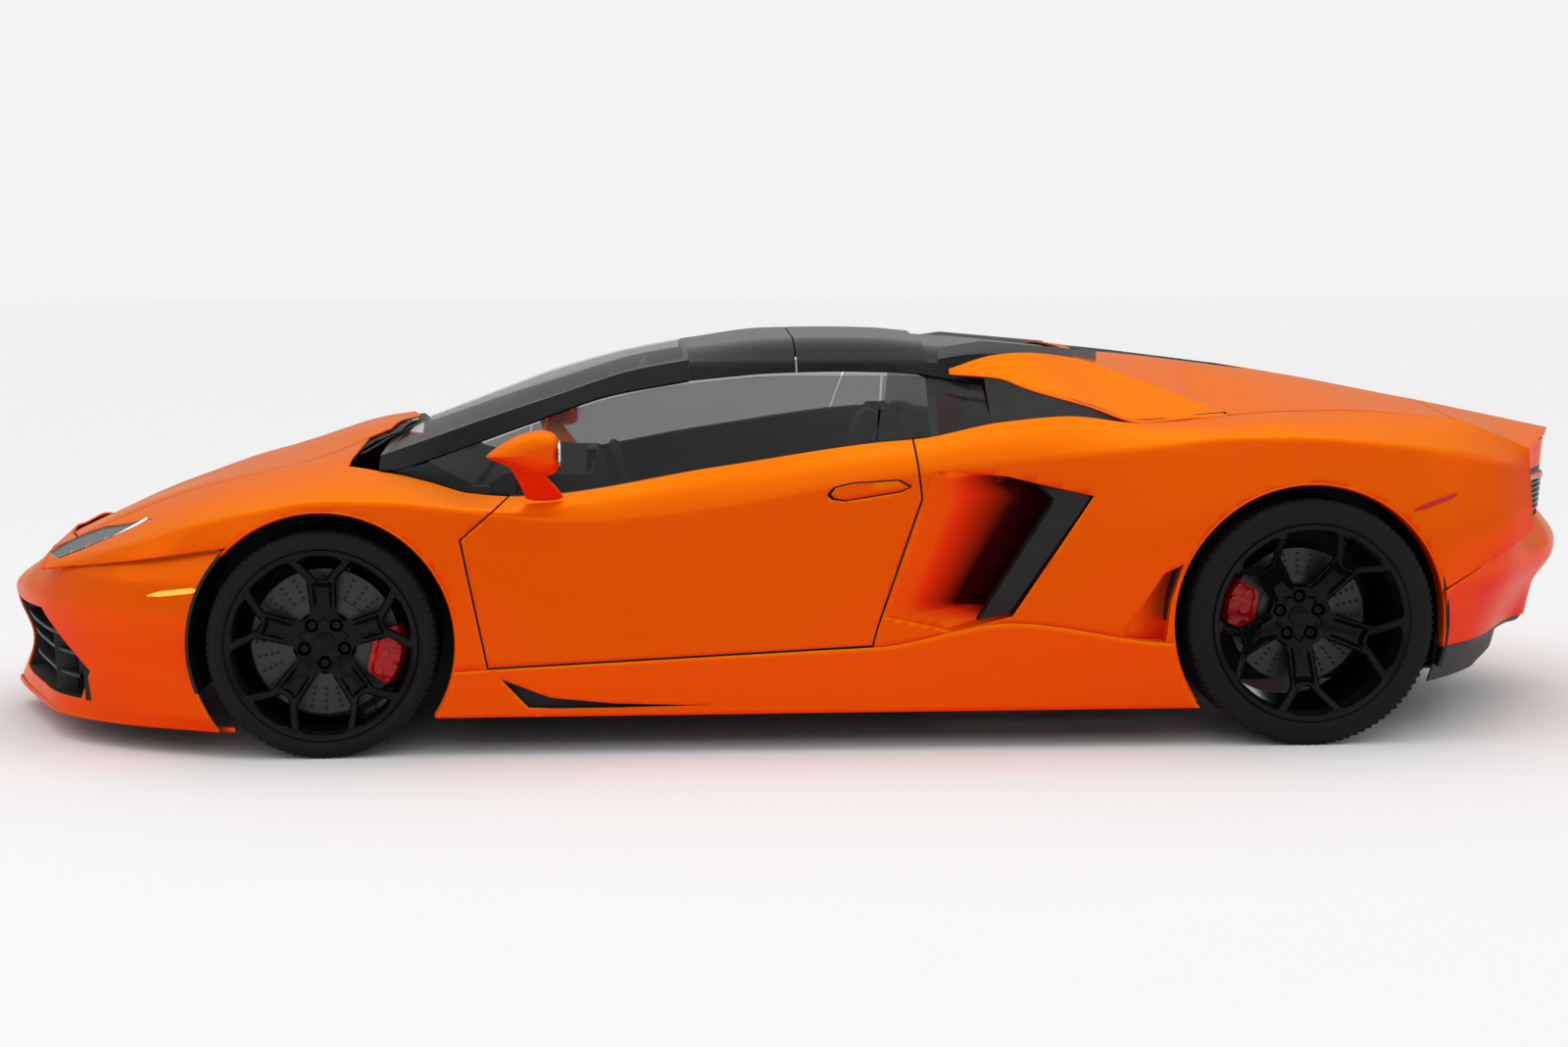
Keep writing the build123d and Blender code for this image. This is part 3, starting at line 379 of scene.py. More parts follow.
def grid_faces(rows, columns, wrap_rows=False, wrap_columns=False):
    """Quads of a grid of rows times columns of points."""
    faces = []
    for i in range(rows if wrap_rows else rows - 1):
        for j in range(columns if wrap_columns else columns - 1):
            a, b = i * columns + j, i * columns + (j + 1) % columns
            c, d = ((i + 1) % rows) * columns + (j + 1) % columns, ((i + 1) % rows) * columns + j
            faces.append((a, b, c, d))
    return faces


def strip(grid):
    """An open mesh through an array (station, point, 3), as (verts, faces)."""
    return grid.reshape(-1, 3), grid_faces(*grid.shape[:2])


def capped(grid, wrap=True, turn_first=False):
    """A tube through an array (station, point, 3) with both ends closed, as (verts, faces)."""
    rows, columns = grid.shape[:2]
    first = tuple(range(columns))
    caps = [first[::-1] if turn_first else first, tuple((rows - 1) * columns + k for k in range(columns))]
    return grid.reshape(-1, 3), grid_faces(rows, columns, wrap_columns=wrap) + caps


def grid_panel(points):
    """A panel through an array (station, point, 3), facing out of the car's left side."""
    return Panel(*strip(points))


def lofted(lines, x, radii=(), steps=9, corner=5, shift=(0, 0, 0)):
    """A panel on the car's left side through character lines, rounded by a radius at each inner line."""
    return grid_panel(rounded_sections([line_points(rows, x) + shift for rows in lines], radii, steps,
                                       corner))


def profiled(line, offsets, radii, steps=2, corner=2):
    """Points round a profile of offsets carried along a line."""
    return rounded_sections([line + np.array(d, float) for d in offsets], radii, steps, corner)


def welded(*panels):
    """Panels joined into one, with the points that meet merged."""
    verts, faces, index = [], [], {}
    for panel in panels:
        points, rings = panel.compact()
        new = []
        for p in points:
            key = tuple(np.round(p / 0.05).astype(int))
            if key not in index:
                index[key] = len(verts)
                verts.append(p)
            new.append(index[key])
        for ring in rings:
            f = []
            for i in ring:
                if not f or new[i] != f[-1]:
                    f.append(new[i])
            if len(f) > 2 and f[0] == f[-1]:
                f.pop()
            if len(set(f)) > 2:
                faces.append(tuple(f))
    return Panel(verts, faces)


def merged(*shells):
    """Several (verts, faces) meshes as one."""
    verts, faces, count = [], [], 0
    for v, f in shells:
        v = np.asarray(v, float).reshape(-1, 3)
        verts.append(v)
        faces += [tuple(i + count for i in ring) for ring in f]
        count += len(v)
    return np.concatenate(verts), faces


def flip_shell(shell):
    """The mirror image of a closed mesh on the other side of the car."""
    verts, faces = shell
    return np.asarray(verts) * (1, -1, 1), [f[::-1] for f in faces]


def both(shell):
    return merged(shell, flip_shell(shell))


def whole(half):
    """A left half panel joined with its mirror image."""
    return welded(half, half.flipped())


def on_side(shell, sign):
    """A shape made for the car's left, mirrored if the sign is the right's."""
    return shell if sign < 0 else flip_shell(shell)


def coordinates(mesh):
    """The points of a mesh, in metres."""
    points = np.empty(len(mesh.vertices) * 3)
    mesh.vertices.foreach_get("co", points)
    return points.reshape(-1, 3)


def new_object(name, data):
    """A new object in the scene."""
    obj = bpy.data.objects.new(name, data)
    bpy.context.scene.collection.objects.link(obj)
    return obj


def evaluated_mesh(obj):
    """A mesh of its own from an object with its modifiers applied."""
    return bpy.data.meshes.new_from_object(obj.evaluated_get(bpy.context.evaluated_depsgraph_get()))


# ---------------------------------------------------------------- materials

def node(tree, kind, inputs=(), **settings):
    """One shader node with its settings, and its inputs set to values or linked to sockets."""
    new = tree.nodes.new(kind)
    for key, value in settings.items():
        setattr(new, key, value)
    for key, value in dict(inputs).items():
        if isinstance(value, bpy.types.NodeSocket):
            tree.links.new(value, new.inputs[key])
        else:
            new.inputs[key].default_value = value
    return new


def finish_of(name, colour, second=None, scale=60.0, rough=(0.4, 0.5), bump=0.0, bump_scale=300.0,
              attribute=None, pattern="noise", **sockets):
    """A procedural finish on Object coordinates: two tones, a roughness that varies and a fine relief."""
    found = bpy.data.materials.get(name)
    if found:
        return found
    mat = bpy.data.materials.new(name)
    mat.use_nodes = True
    tree = mat.node_tree
    shader = tree.nodes["Principled BSDF"]
    place = node(tree, "ShaderNodeTexCoord").outputs["Object"]
    cloud = node(tree, "ShaderNodeTexNoise", {"Vector": place, "Scale": scale, "Detail": 4.0,
                                              "Roughness": 0.6})
    second = second or tuple(c * 0.8 for c in colour)
    # An attribute carries painted light and shade: it blends the two tones, and values below zero dim the
    # colour as painted shade.
    if attribute:
        tone = node(tree, "ShaderNodeAttribute", attribute_name=attribute).outputs["Fac"]
        grain = node(tree, "ShaderNodeMath", {0: cloud.outputs["Fac"], 1: 0.06, 2: -0.03},
                     operation="MULTIPLY_ADD").outputs[0]
        painted_shade_dim = node(tree, "ShaderNodeMapRange", {"Value": tone, "From Min": -1.0, "From Max": 0.0,
                                                "To Min": 0.05}).outputs[0]
        tone = node(tree, "ShaderNodeMath", {0: tone, 1: grain}, operation="ADD", use_clamp=True).outputs[0]
    else:
        tone = cloud.outputs["Fac"]
    mix = node(tree, "ShaderNodeMix", data_type="RGBA")
    tree.links.new(tone, mix.inputs[0])
    mix.inputs[6].default_value = (*second, 1)
    mix.inputs[7].default_value = (*colour, 1)
    shade = mix.outputs[2]
    if attribute:
        shade = node(tree, "ShaderNodeVectorMath", {0: shade, "Scale": painted_shade_dim}, operation="SCALE").outputs[0]
    tree.links.new(shade, shader.inputs["Base Color"])
    level = node(tree, "ShaderNodeMapRange", {"Value": cloud.outputs["Fac"], "To Min": rough[0],
                                              "To Max": rough[1]})
    tree.links.new(level.outputs[0], shader.inputs["Roughness"])
    if bump:
        if pattern == "cells":
            relief = node(tree, "ShaderNodeTexVoronoi",
                          {"Vector": place, "Scale": bump_scale}).outputs["Distance"]
        elif pattern == "weave":
            a, b = [node(tree, "ShaderNodeTexWave", {"Vector": place, "Scale": bump_scale},
                         bands_direction=way).outputs["Fac"]
                    for way in "XZ"]
            relief = node(tree, "ShaderNodeMath", {0: a, 1: b}, operation="MULTIPLY").outputs[0]
        else:
            relief = node(tree, "ShaderNodeTexNoise",
                          {"Vector": place, "Scale": bump_scale, "Detail": 3.0}).outputs["Fac"]
        raised = node(tree, "ShaderNodeBump", {"Height": relief, "Strength": bump, "Distance": 0.001})
        tree.links.new(raised.outputs["Normal"], shader.inputs["Normal"])
    for key, value in sockets.items():
        shader.inputs[key.replace("_", " ")].default_value = value
    return mat


def finishes():
    """Every finish of the car, made once from the colours in the panel."""
    c = bpy.context.scene.supercar_colours
    return {
        # Painted light and shade: the paint blends its two tones by a per-point attribute. The bright tone
        # goes on up-facing surfaces, the deep one on down-facing ones, and darker still in the side intakes.
        "paint": finish_of("orange_paint_with_painted_light", tuple(c.paint_painted_light), tuple(c.paint_base_and_painted_shade), 900.0,
                           (0.26, 0.34), 0.02, 2500.0,
                           attribute="painted_light_and_shade", Coat_Weight=0.07, Coat_Roughness=0.03, Coat_IOR=1.3,
                           Metallic=0.42, Specular_IOR_Level=0.06, Specular_Tint=(1.0, 0.3, 0.03, 1)),
        "gloss_black": finish_of("gloss_black_lacquer", (0.012, 0.012, 0.013), (0.006, 0.006, 0.007), 40.0,
                                 (0.16, 0.24), 0.02, 900.0,
                                 Coat_Weight=0.04, Coat_Roughness=0.05, IOR=1.22, Specular_IOR_Level=0.35),
        "satin_black": finish_of("satin_black_plastic", (0.014, 0.014, 0.0145), (0.008, 0.008, 0.0085), 25.0,
                                 (0.42, 0.58), 0.25, 1400.0, Specular_IOR_Level=0.3),
        "grey": finish_of("grey_satin_trim", (0.17, 0.17, 0.175), (0.12, 0.12, 0.125), 30.0, (0.35, 0.45),
                          0.08, 900.0, Metallic=0.4),
        # Near-black: the real colour of the vents, intake liners and blade scoops; on the disc holes and the
        # door handle recess it is painted shade.
        "dark_vents_and_painted_shade": finish_of("vent_black_and_painted_shade", (0.006, 0.006, 0.006), (0.003, 0.003, 0.003), 25.0, (0.6, 0.8),
                            0.2, 800.0),
        "glass": finish_of("tinted_glass", (0.006, 0.007, 0.008), (0.005, 0.0055, 0.006), 3.0, (0.01, 0.03),
                           Alpha=0.35, IOR=1.3, Coat_Weight=0.15, Coat_Roughness=0.0, Specular_IOR_Level=0.5),
        "clear": finish_of("lamp_lens", (0.6, 0.62, 0.63), (0.5, 0.52, 0.53), 3.0, (0.01, 0.03), Alpha=0.22,
                           IOR=1.5, Coat_Weight=1.0, Coat_Roughness=0.0),
        "chrome": finish_of("bright_reflector", (0.75, 0.75, 0.76), (0.62, 0.62, 0.63), 50.0, (0.08, 0.16),
                            0.02, 700.0, Metallic=1.0),
        "amber": finish_of("amber_lens", (1.0, 0.42, 0.03), (0.85, 0.25, 0.01), 120.0, (0.12, 0.2), 0.3,
                           500.0, pattern="cells",
                           Emission_Color=(1, 0.35, 0.02, 1), Emission_Strength=0.9, Coat_Weight=1.0),
        "red": finish_of("red_lens", (0.5, 0.006, 0.006), (0.28, 0.003, 0.003), 120.0, (0.1, 0.18), 0.3,
                         500.0, pattern="cells",
                         Emission_Color=(1, 0.02, 0.01, 1), Emission_Strength=0.14, Coat_Weight=0.1,
                         Specular_IOR_Level=0.2),
        "white_lamp": finish_of("white_lamp_glow", (0.9, 0.92, 0.95), (0.8, 0.84, 0.9), 80.0, (0.15, 0.25),
                                0.1, 400.0, Emission_Color=(0.9, 0.95, 1, 1), Emission_Strength=0.5),
        "rubber": finish_of("tyre_rubber", (0.009, 0.009, 0.009), (0.005, 0.005, 0.005), 18.0, (0.6, 0.75),
                            0.3, 900.0, Specular_IOR_Level=0.15),
        "rim": finish_of("rim_gloss_black", (0.004, 0.004, 0.0045), (0.003, 0.003, 0.003), 30.0, (0.12, 0.18),
                         0.02, 900.0, Coat_Weight=0.05, Coat_Roughness=0.06, IOR=1.2, Specular_IOR_Level=0.5),
        "disc": finish_of("brake_disc_grey", (0.06, 0.06, 0.061), (0.035, 0.035, 0.036), 90.0, (0.3, 0.45),
                          0.1, 1200.0, Metallic=0.8),
        "caliper": finish_of("caliper_red", tuple(c.caliper), tuple(x * 0.7 for x in c.caliper), 50.0,
                             (0.25, 0.35), 0.1, 700.0, Coat_Weight=0.1, Specular_IOR_Level=0.3),
        "metal": finish_of("machined_metal", (0.45, 0.45, 0.46), (0.3, 0.3, 0.31), 60.0, (0.25, 0.4), 0.1,
                           900.0, Metallic=1.0),
        "dark_metal": finish_of("cast_dark_metal", (0.08, 0.08, 0.082), (0.045, 0.045, 0.046), 40.0,
                                (0.45, 0.6), 0.3, 700.0, Metallic=0.6),
        "leather": finish_of("seat_leather", (0.028, 0.026, 0.026), (0.016, 0.015, 0.015), 30.0, (0.42, 0.56),
                             0.6, 620.0, pattern="cells", Sheen_Weight=0.12),
        "trim": finish_of("cabin_trim_soft", (0.03, 0.03, 0.031), (0.018, 0.018, 0.019), 25.0, (0.55, 0.7),
                          0.45, 900.0, pattern="cells"),
        "tub": finish_of("tub_carbon_weave", (0.03, 0.03, 0.032), (0.016, 0.016, 0.017), 20.0, (0.35, 0.5),
                         0.35, 90.0, pattern="weave", Coat_Weight=0.5),
        "floor": finish_of("studio_floor", (0.985, 0.985, 0.985), (0.975, 0.975, 0.975), 2.0, (0.7, 0.8),
                           Specular_IOR_Level=0.0),
    }


# ---------------------------------------------------------------- making pieces


def piece(name, shell, finish, body="root", stands_for="", angle=32.0, shade=None, bevel=0.0,
          closed=False):
    """A finished mesh object from millimetre points: smooth shaded, riding its body, with its finish.
    Painted pieces get painted light and shade as a per-point tone: higher where they face up, lower where
    they face down, less the painted shade that the shade function takes off at points."""
    verts, faces = shell
    mesh = bpy.data.meshes.new(name)
    mesh.from_pydata([tuple(v) for v in np.asarray(verts, float) * MM], [],
                     [tuple(int(i) for i in f) for f in faces])
    made = bmesh.new()
    made.from_mesh(mesh)
    bmesh.ops.remove_doubles(made, verts=made.verts, dist=0.00002)
    bmesh.ops.dissolve_degenerate(made, edges=made.edges, dist=0.00001)
    if closed:
        bmesh.ops.recalc_face_normals(made, faces=made.faces)
    made.to_mesh(mesh)
    made.free()
    mesh.polygons.foreach_set("use_smooth", [True] * len(mesh.polygons))
    mesh.set_sharp_from_angle(angle=math.radians(angle))
    # Painted light and shade: the tone rises where a point faces up, and the shade function's painted shade
    # is taken off.
    if finish == "paint":
        attribute = mesh.attributes.new("painted_light_and_shade", "FLOAT", "POINT")
        normals = np.empty(len(mesh.vertices) * 3)
        mesh.vertex_normals.foreach_get("vector", normals)
        up = normals.reshape(-1, 3)[:, 2]
        deep = shade(coordinates(mesh) / MM) if shade else 0.0
        attribute.data.foreach_set("value", np.clip(0.28 + 0.85 * up, 0.0, 1.0) - deep)
    obj = new_object(name, mesh)
    mesh.materials.append(finishes()[finish])
    if bevel:
        edge = obj.modifiers.new("edge", "BEVEL")
        edge.width, edge.segments, edge.limit_method = bevel * MM, 2, "ANGLE"
        edge.angle_limit = math.radians(40)
    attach(obj, body)
    if stands_for:
        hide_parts(stands_for)
    return obj


def coat_node(name, finish):
    """Gives a shown CAD node its finish."""
    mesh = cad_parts[name].data
    mesh.materials.clear()
    mesh.materials.append(finishes()[finish])


# ---------------------------------------------------------------- the car's surfaces

HOOD_CENTRE = ((-2190, 0, 535), (-1950, 0, 636), (-1720, 0, 716), (-1510, 0, 782), (-1270, 0, 858),
               (-1130, 0, 874))
HOOD_RIDGE = ((-2190, 250, 538), (-1950, 250, 646), (-1720, 250, 724), (-1510, 250, 790), (-1270, 250, 862),
              (-1130, 250, 880))
HOOD_EDGE = (
    (-2190, 440, 522), (-2091, 480, 570), (-1993, 520, 617), (-1861, 560, 672), (-1712, 590, 722),
             (-1561, 630, 757),
    (-1345, 690, 788), (-1130, 720, 808),
)
SCREEN_CENTRE = ((-1290, 0, 812), (-1104, 0, 879), (-902, 0, 955), (-741, 0, 1014), (-499, 0, 1077),
                 (-345, 0, 1104))
SCREEN_MID = ((-1290, 400, 800), (-1104, 400, 866), (-902, 400, 941), (-741, 380, 998), (-499, 340, 1065),
              (-345, 320, 1094))
SCREEN_EDGE = ((-1290, 752, 776), (-1104, 722, 838), (-902, 688, 906), (-741, 642, 956), (-499, 574, 1030),
               (-345, 545, 1056))
PILLAR_FOOT = (
    (-1290, 768, 772), (-1170, 786, 768), (-1067, 762, 796), (-785, 703, 893), (-573, 642, 962),
               (-345, 600, 1001),
)
GLASS_HEAD = (
    (-1170, 789, 764), (-1067, 769, 787), (-785, 710, 884), (-573, 649, 953), (-345, 607, 992),
    (-73, 592, 1011), (191, 596, 1010), (427, 608, 995), (488, 640, 980),
)
GLASS_FOOT = (
    (-1170, 788, 763), (-1067, 814, 741), (-950, 848, 711), (-830, 865, 704), (-272, 872, 780),
              (160, 864, 841),
    (285, 872, 852), (427, 866, 868), (488, 863, 880),
)
ROOF_CENTRE = ((-345, 0, 1104), (-100, 0, 1134), (60, 0, 1136), (225, 0, 1132), (335, 0, 1122),
               (480, 0, 1112), (762, 0, 1082))
ROOF_RIDGE = ((-345, 430, 1086), (-100, 440, 1108), (60, 445, 1112), (225, 445, 1108), (335, 445, 1098),
              (480, 470, 1090), (762, 500, 1062))
ROOF_EDGE = ((-345, 562, 1046), (-100, 572, 1048), (60, 574, 1049), (225, 572, 1048), (335, 568, 1046),
             (480, 600, 1050), (762, 558, 1054))
ROOF_FOOT = ((-345, 600, 1001), (-100, 590, 1020), (60, 588, 1023), (225, 590, 1020), (335, 598, 1012),
             (480, 636, 984))
DECK_CENTRE = ((762, 0, 1082), (1000, 0, 1052), (1309, 0, 1010), (1462, 0, 986), (1761, 0, 928),
               (1900, 0, 900), (2344, 0, 809))
DECK_RIDGE = ((762, 300, 1080), (1000, 320, 1056), (1309, 320, 1014), (1462, 320, 990), (1761, 320, 931),
              (1900, 320, 904), (2344, 320, 806))
DECK_EDGE = (
    (762, 560, 1054), (900, 640, 1008), (1028, 720, 958), (1154, 812, 900), (1309, 802, 909),
             (1483, 787, 910),
    (1686, 762, 895), (1832, 737, 878), (1950, 705, 838), (2073, 650, 789), (2344, 560, 785),
)
BLADE_EDGE = ((392, 652, 1014), (523, 706, 1004), (600, 740, 975), (757, 805, 930), (906, 858, 884),
              (1028, 835, 892), (1154, 812, 900))
BLADE_TOP = ((392, 640, 1029), (523, 632, 1067), (600, 622, 1073), (757, 566, 1056), (900, 640, 1008),
             (1028, 720, 958), (1154, 808, 902))
SILL_BASE = ((-1060, 982, 108), (160, 990, 108), (1060, 1000, 108))
BUMPER = (
    (74, ((-2386, 0), (-2332, 150), (-2227, 400), (-2134, 600), (-1921, 800), (-1630, 952))),
    (108, ((-2372, 0), (-2326, 150), (-2226, 400), (-2134, 600), (-1928, 800), (-1630, 960))),
    (214, ((-2340, 0), (-2310, 150), (-2222, 400), (-2134, 600), (-1945, 800), (-1630, 962))),
    (361, ((-2390, 0), (-2345, 150), (-2255, 400), (-2160, 590), (-1975, 790), (-1650, 968))),
    (470, ((-2270, 0), (-2262, 150), (-2200, 400), (-2125, 600), (-1965, 785), (-1620, 968))),
    (566, ((-2160, 0), (-2158, 150), (-2110, 400), (-2062, 600), (-1950, 745), (-1560, 968))),
)
TAIL = (
    (262, ((2230, 0), (2190, 300), (2110, 400), (1868, 800), (1712, 960))),
    (360, ((2290, 0), (2215, 300), (2110, 480), (1900, 800), (1718, 982))),
    (451, ((2390, 0), (2270, 300), (2112, 560), (1965, 770), (1728, 990))),
    (562, ((2320, 0), (2220, 300), (2130, 450), (1962, 770), (1734, 990))),
)
SHROUD = (
    (150, ((2060, 0), (2040, 300), (1950, 560), (1858, 700), (1722, 850))),
    (200, ((2140, 0), (2105, 300), (2015, 520), (1850, 760), (1718, 905))),
    (262, ((2226, 0), (2184, 300), (2104, 400), (1862, 796), (1712, 950))),
    (300, ((2236, 0), (2190, 300), (2104, 430), (1870, 790), (1712, 955))),
)
PANEL_FOOT = 560
SEAT_Y = 360.0
PARTING = ((-2460, 415), (-2119, 491), (-1601, 573), (-1250, 628))


SIDE_STATIONS = np.linspace(SIDE_START, SIDE_END, 235)


def side_surface():
    """The painted side of the car from the crest of the wings down to the bottom of the doors."""
    low = ((SIDE_START, 590, 300),) + LOW
    return lofted((TOP, SHOULDER, CREASE, FLANK, low), SIDE_STATIONS, (70, 14, 70), steps=8)


def front_top():
    """The hood and the tops of the wings, on one side, from the middle out to the crest."""
    x = np.concatenate([SIDE_STATIONS[SIDE_STATIONS < HOOD_REAR], [HOOD_REAR]])
    return lofted((HOOD_CENTRE, HOOD_RIDGE, HOOD_EDGE, TOP), x, (60, 45), corner=4)


def front_body():
    """The hood, the wings and the side ahead of the screen, on one side, as one panel."""
    return welded(front_top(), side_surface().pick(lambda c: c[:, 0] < -1100))


def sweep_levels(levels, count, rise, sign=-1):
    """A bumper skin through plan outlines at rising heights: points (height, along, 3)."""
    heights = np.array([z for z, _ in levels], float)
    z = np.concatenate([np.linspace(a, b, rise, endpoint=False) for a,
                        b in zip(heights, heights[1:])] + [heights[-1:]])
    outlines = []
    for _, row in levels:
        row = np.array(row, float)
        along = np.concatenate([[0], np.cumsum(np.linalg.norm(np.diff(row, axis=0), axis=1))])
        rows = [(s, p[0], p[1]) for s, p in zip(along, row)]
        s = np.linspace(0, along[-1], count)
        outlines.append(np.stack([smooth_at(rows, s, 1), sign * smooth_at(rows, s, 2)], axis=1))
    outlines = np.array(outlines)
    grid = np.zeros((len(z), count, 3))
    for k in range(count):
        for axis in (0, 1):
            rows = [(h, outlines[i, k, axis], 0) for i, h in enumerate(heights)]
            grid[:, k, axis] = np.interp(z, heights, outlines[:, k, axis]) if axis else smooth_at(rows, z, 1)
    grid[:, :, 2] = z[:, None]
    return grid


def clean_side():
    """The side surface cut to the bumpers' parting lines and to the two wheel arches."""
    side = side_surface()
    for arch in ARCHES:
        side = side.clear_of(*arch)
    front_low = [(x, z + HALF_SHUT) for x, z in PARTING + ((-1340, 628), (-1340, -50), (-2600, -50))]
    rear_low = ((1728, 424), (1959, 514), (2300, 640), (2300, -50), (1400, -50), (1400, 424))
    for low in (front_low, rear_low):
        side = side.cut(low, "side", 40)[1]
    return side


def flange(panel, outline, view):
    """A dark rebate that closes the shut line behind a panel's outline."""
    wide, tight = grown(outline, 26.0), grown(outline, -7.0)
    panel.score(wide, view).score(tight, view)
    return panel.within(wide, view).without(tight, view).lowered(9.0).shell(2.0, 0.6)


def rim_wall(panel, move):
    """A thin wall between a panel's free edge and the same edge after a move."""
    verts, faces = panel.compact()
    edges = {(f[k], f[(k + 1) % len(f)]) for f in faces for k in range(len(f))}
    rim = [(a, b) for a, b in edges if (b, a) not in edges]
    used = sorted({i for e in rim for i in e})
    index = {old: k for k, old in enumerate(used)}
    count = len(used)
    points = np.concatenate([verts[used], (verts + move)[used]])
    return Panel(points, [(index[b], index[a], index[a] + count, index[b] + count) for a,
                          b in rim]).shell(1.5, 0.5)


def sunk(panel, move, wall=2.0):
    """A panel moved inwards, with a thin wall back to its edge."""
    return merged(panel.moved(move).shell(wall), rim_wall(panel, move))


class CarOperator:
    """What every building operator of the car shares."""

    bl_options = {"REGISTER"}


class SUPERCAR_OT_wings(CarOperator, bpy.types.Operator):
    """Builds the front wings and their dark rebates."""

    bl_idname = "supercar.wings"
    bl_label = "Front wings"

    def execute(self, context):
        front = clean_side().pick(lambda c: c[:, 0] < -700)
        front = front.cut(grown(DOOR_SIDE, HALF_SHUT), "side")[1].pick(lambda c: c[:, 0] < -815)
        hood = grown(mirrored(HOOD_PLAN), HALF_SHUT)
        screen = ((-1300, 0), (-1178, 0), (-1262, -400), (-1292, -752), (-1166, -795), (-1000, -850),
                  (-1000, 0))
        top = front_top().cut(hood, "plan")[1].cut(screen, "plan", 60)[1]
        wing = welded(front, top).cut(left_plan(grown(LAMP_PLAN, HALF_SHUT)), "plan")[1]
        wing = wing.pick(lambda c: c[:, 0] > -2172)
        wing.score(left_plan(grown(hood_half(50), HALF_SHUT)), "plan")
        wing = wing.without(hood, "plan")
        piece("front_wings_paint", both(wing.shell(SKIN)), "paint", stands_for="front_fenders")
        piece("door_rebates", both(flange(side_surface().pick(lambda c: c[:, 0] < 400), DOOR_SIDE, "side")),
              "satin_black")
        piece("hood_rebates", both(flange(front_body(), left_plan(hood_half(60)), "plan")), "satin_black")
        return {"FINISHED"}


class SUPERCAR_OT_hood(CarOperator, bpy.types.Operator):
    """Builds the hood, painted outside and dark inside, on its hinge."""

    bl_idname = "supercar.hood"
    bl_label = "Hood"

    def execute(self, context):
        panel = whole(front_body().cut(grown(mirrored(HOOD_PLAN), -HALF_SHUT), "plan")[0])
        piece("hood_paint", panel.shell(SKIN), "paint", "hood", "hood")
        under = panel.lowered(14.0).cut(grown(mirrored(HOOD_PLAN), -60), "plan")[0]
        piece("hood_inner_frame", under.shell(6.0), "satin_black", "hood")
        return {"FINISHED"}


class SUPERCAR_OT_doors(CarOperator, bpy.types.Operator):
    """Builds both doors: painted skin, inner card, handle slot and sill edge."""

    bl_idname = "supercar.doors"
    bl_label = "Doors"

    def execute(self, context):
        region = side_surface().pick(lambda c: (c[:, 0] > -1050) & (c[:, 0] < 400))
        card = region.copy().cut(grown(DOOR_SIDE, -34), "side")[0].pick(lambda c: c[:, 0] > -850)
        side = region.cut(grown(DOOR_SIDE, -HALF_SHUT), "side")[0]
        slot = ((22, 702), (40, 722), (90, 734), (220, 741), (254, 722), (225, 707), (70, 683), (34, 688))
        flap = ((32, 703), (46, 720), (92, 731), (216, 738), (246, 721), (221, 710), (74, 687), (42, 692))
        recess, side = side.cut(slot, "side")
        depth = np.interp(side.compact()[0][:, 0], (-960, -840), (10, 58))
        parts = (
            ("paint", side.shell(SKIN), "paint"),
            # The handle recess is sunk and also finished near-black: painted shade for the dark slot round
            # the handle, besides the shade its depth gives.
            ("handle_recess", sunk(recess, (0, 16.0, -4.0), 3.0), "dark_vents_and_painted_shade"),
            ("handle", recess.cut(flap, "side", 12)[0].moved((0, 3.0, 0)).shell(4.0), "paint"),
            ("card", card.moved((0, 66.0, 0)).shell(6.0), "trim"),
            ("edge", rim_wall(side, np.stack([0 * depth, depth, 0 * depth], axis=1)), "satin_black"),
        )
        for name, sign in SIDES:
            door = "door_" + name
            for part, shell, finish in parts:
                piece(f"{door}_{part}", on_side(shell, sign), finish, door, door if part == "paint" else "")
        return {"FINISHED"}


def intake_blade():
    """The black blade along the rear edge of a side intake, closed, as (verts, faces)."""
    foot, head = 350, 735
    rows = []
    for t in np.linspace(0, 1, 30):
        z = foot + (head - foot) * t
        rear = np.interp(z, (foot, 368, 693, head), (512, 525, 751, 640))
        front = np.interp(z, (foot, 362, 679, 726, head), (440, 452, 652, 603, 600))
        y = -float(smooth_at(CREASE, [rear], 1)[0]) - 6 + 14 * (1 - t)
        rows.append([(rear - 2, y, z), (front, y + 30, z), (front - 8, y + 48, z), (front + 10, y + 150, z),
                     (rear + 6, y + 150, z), (rear + 2, y + 30, z)])
    return capped(np.array(rows, float))


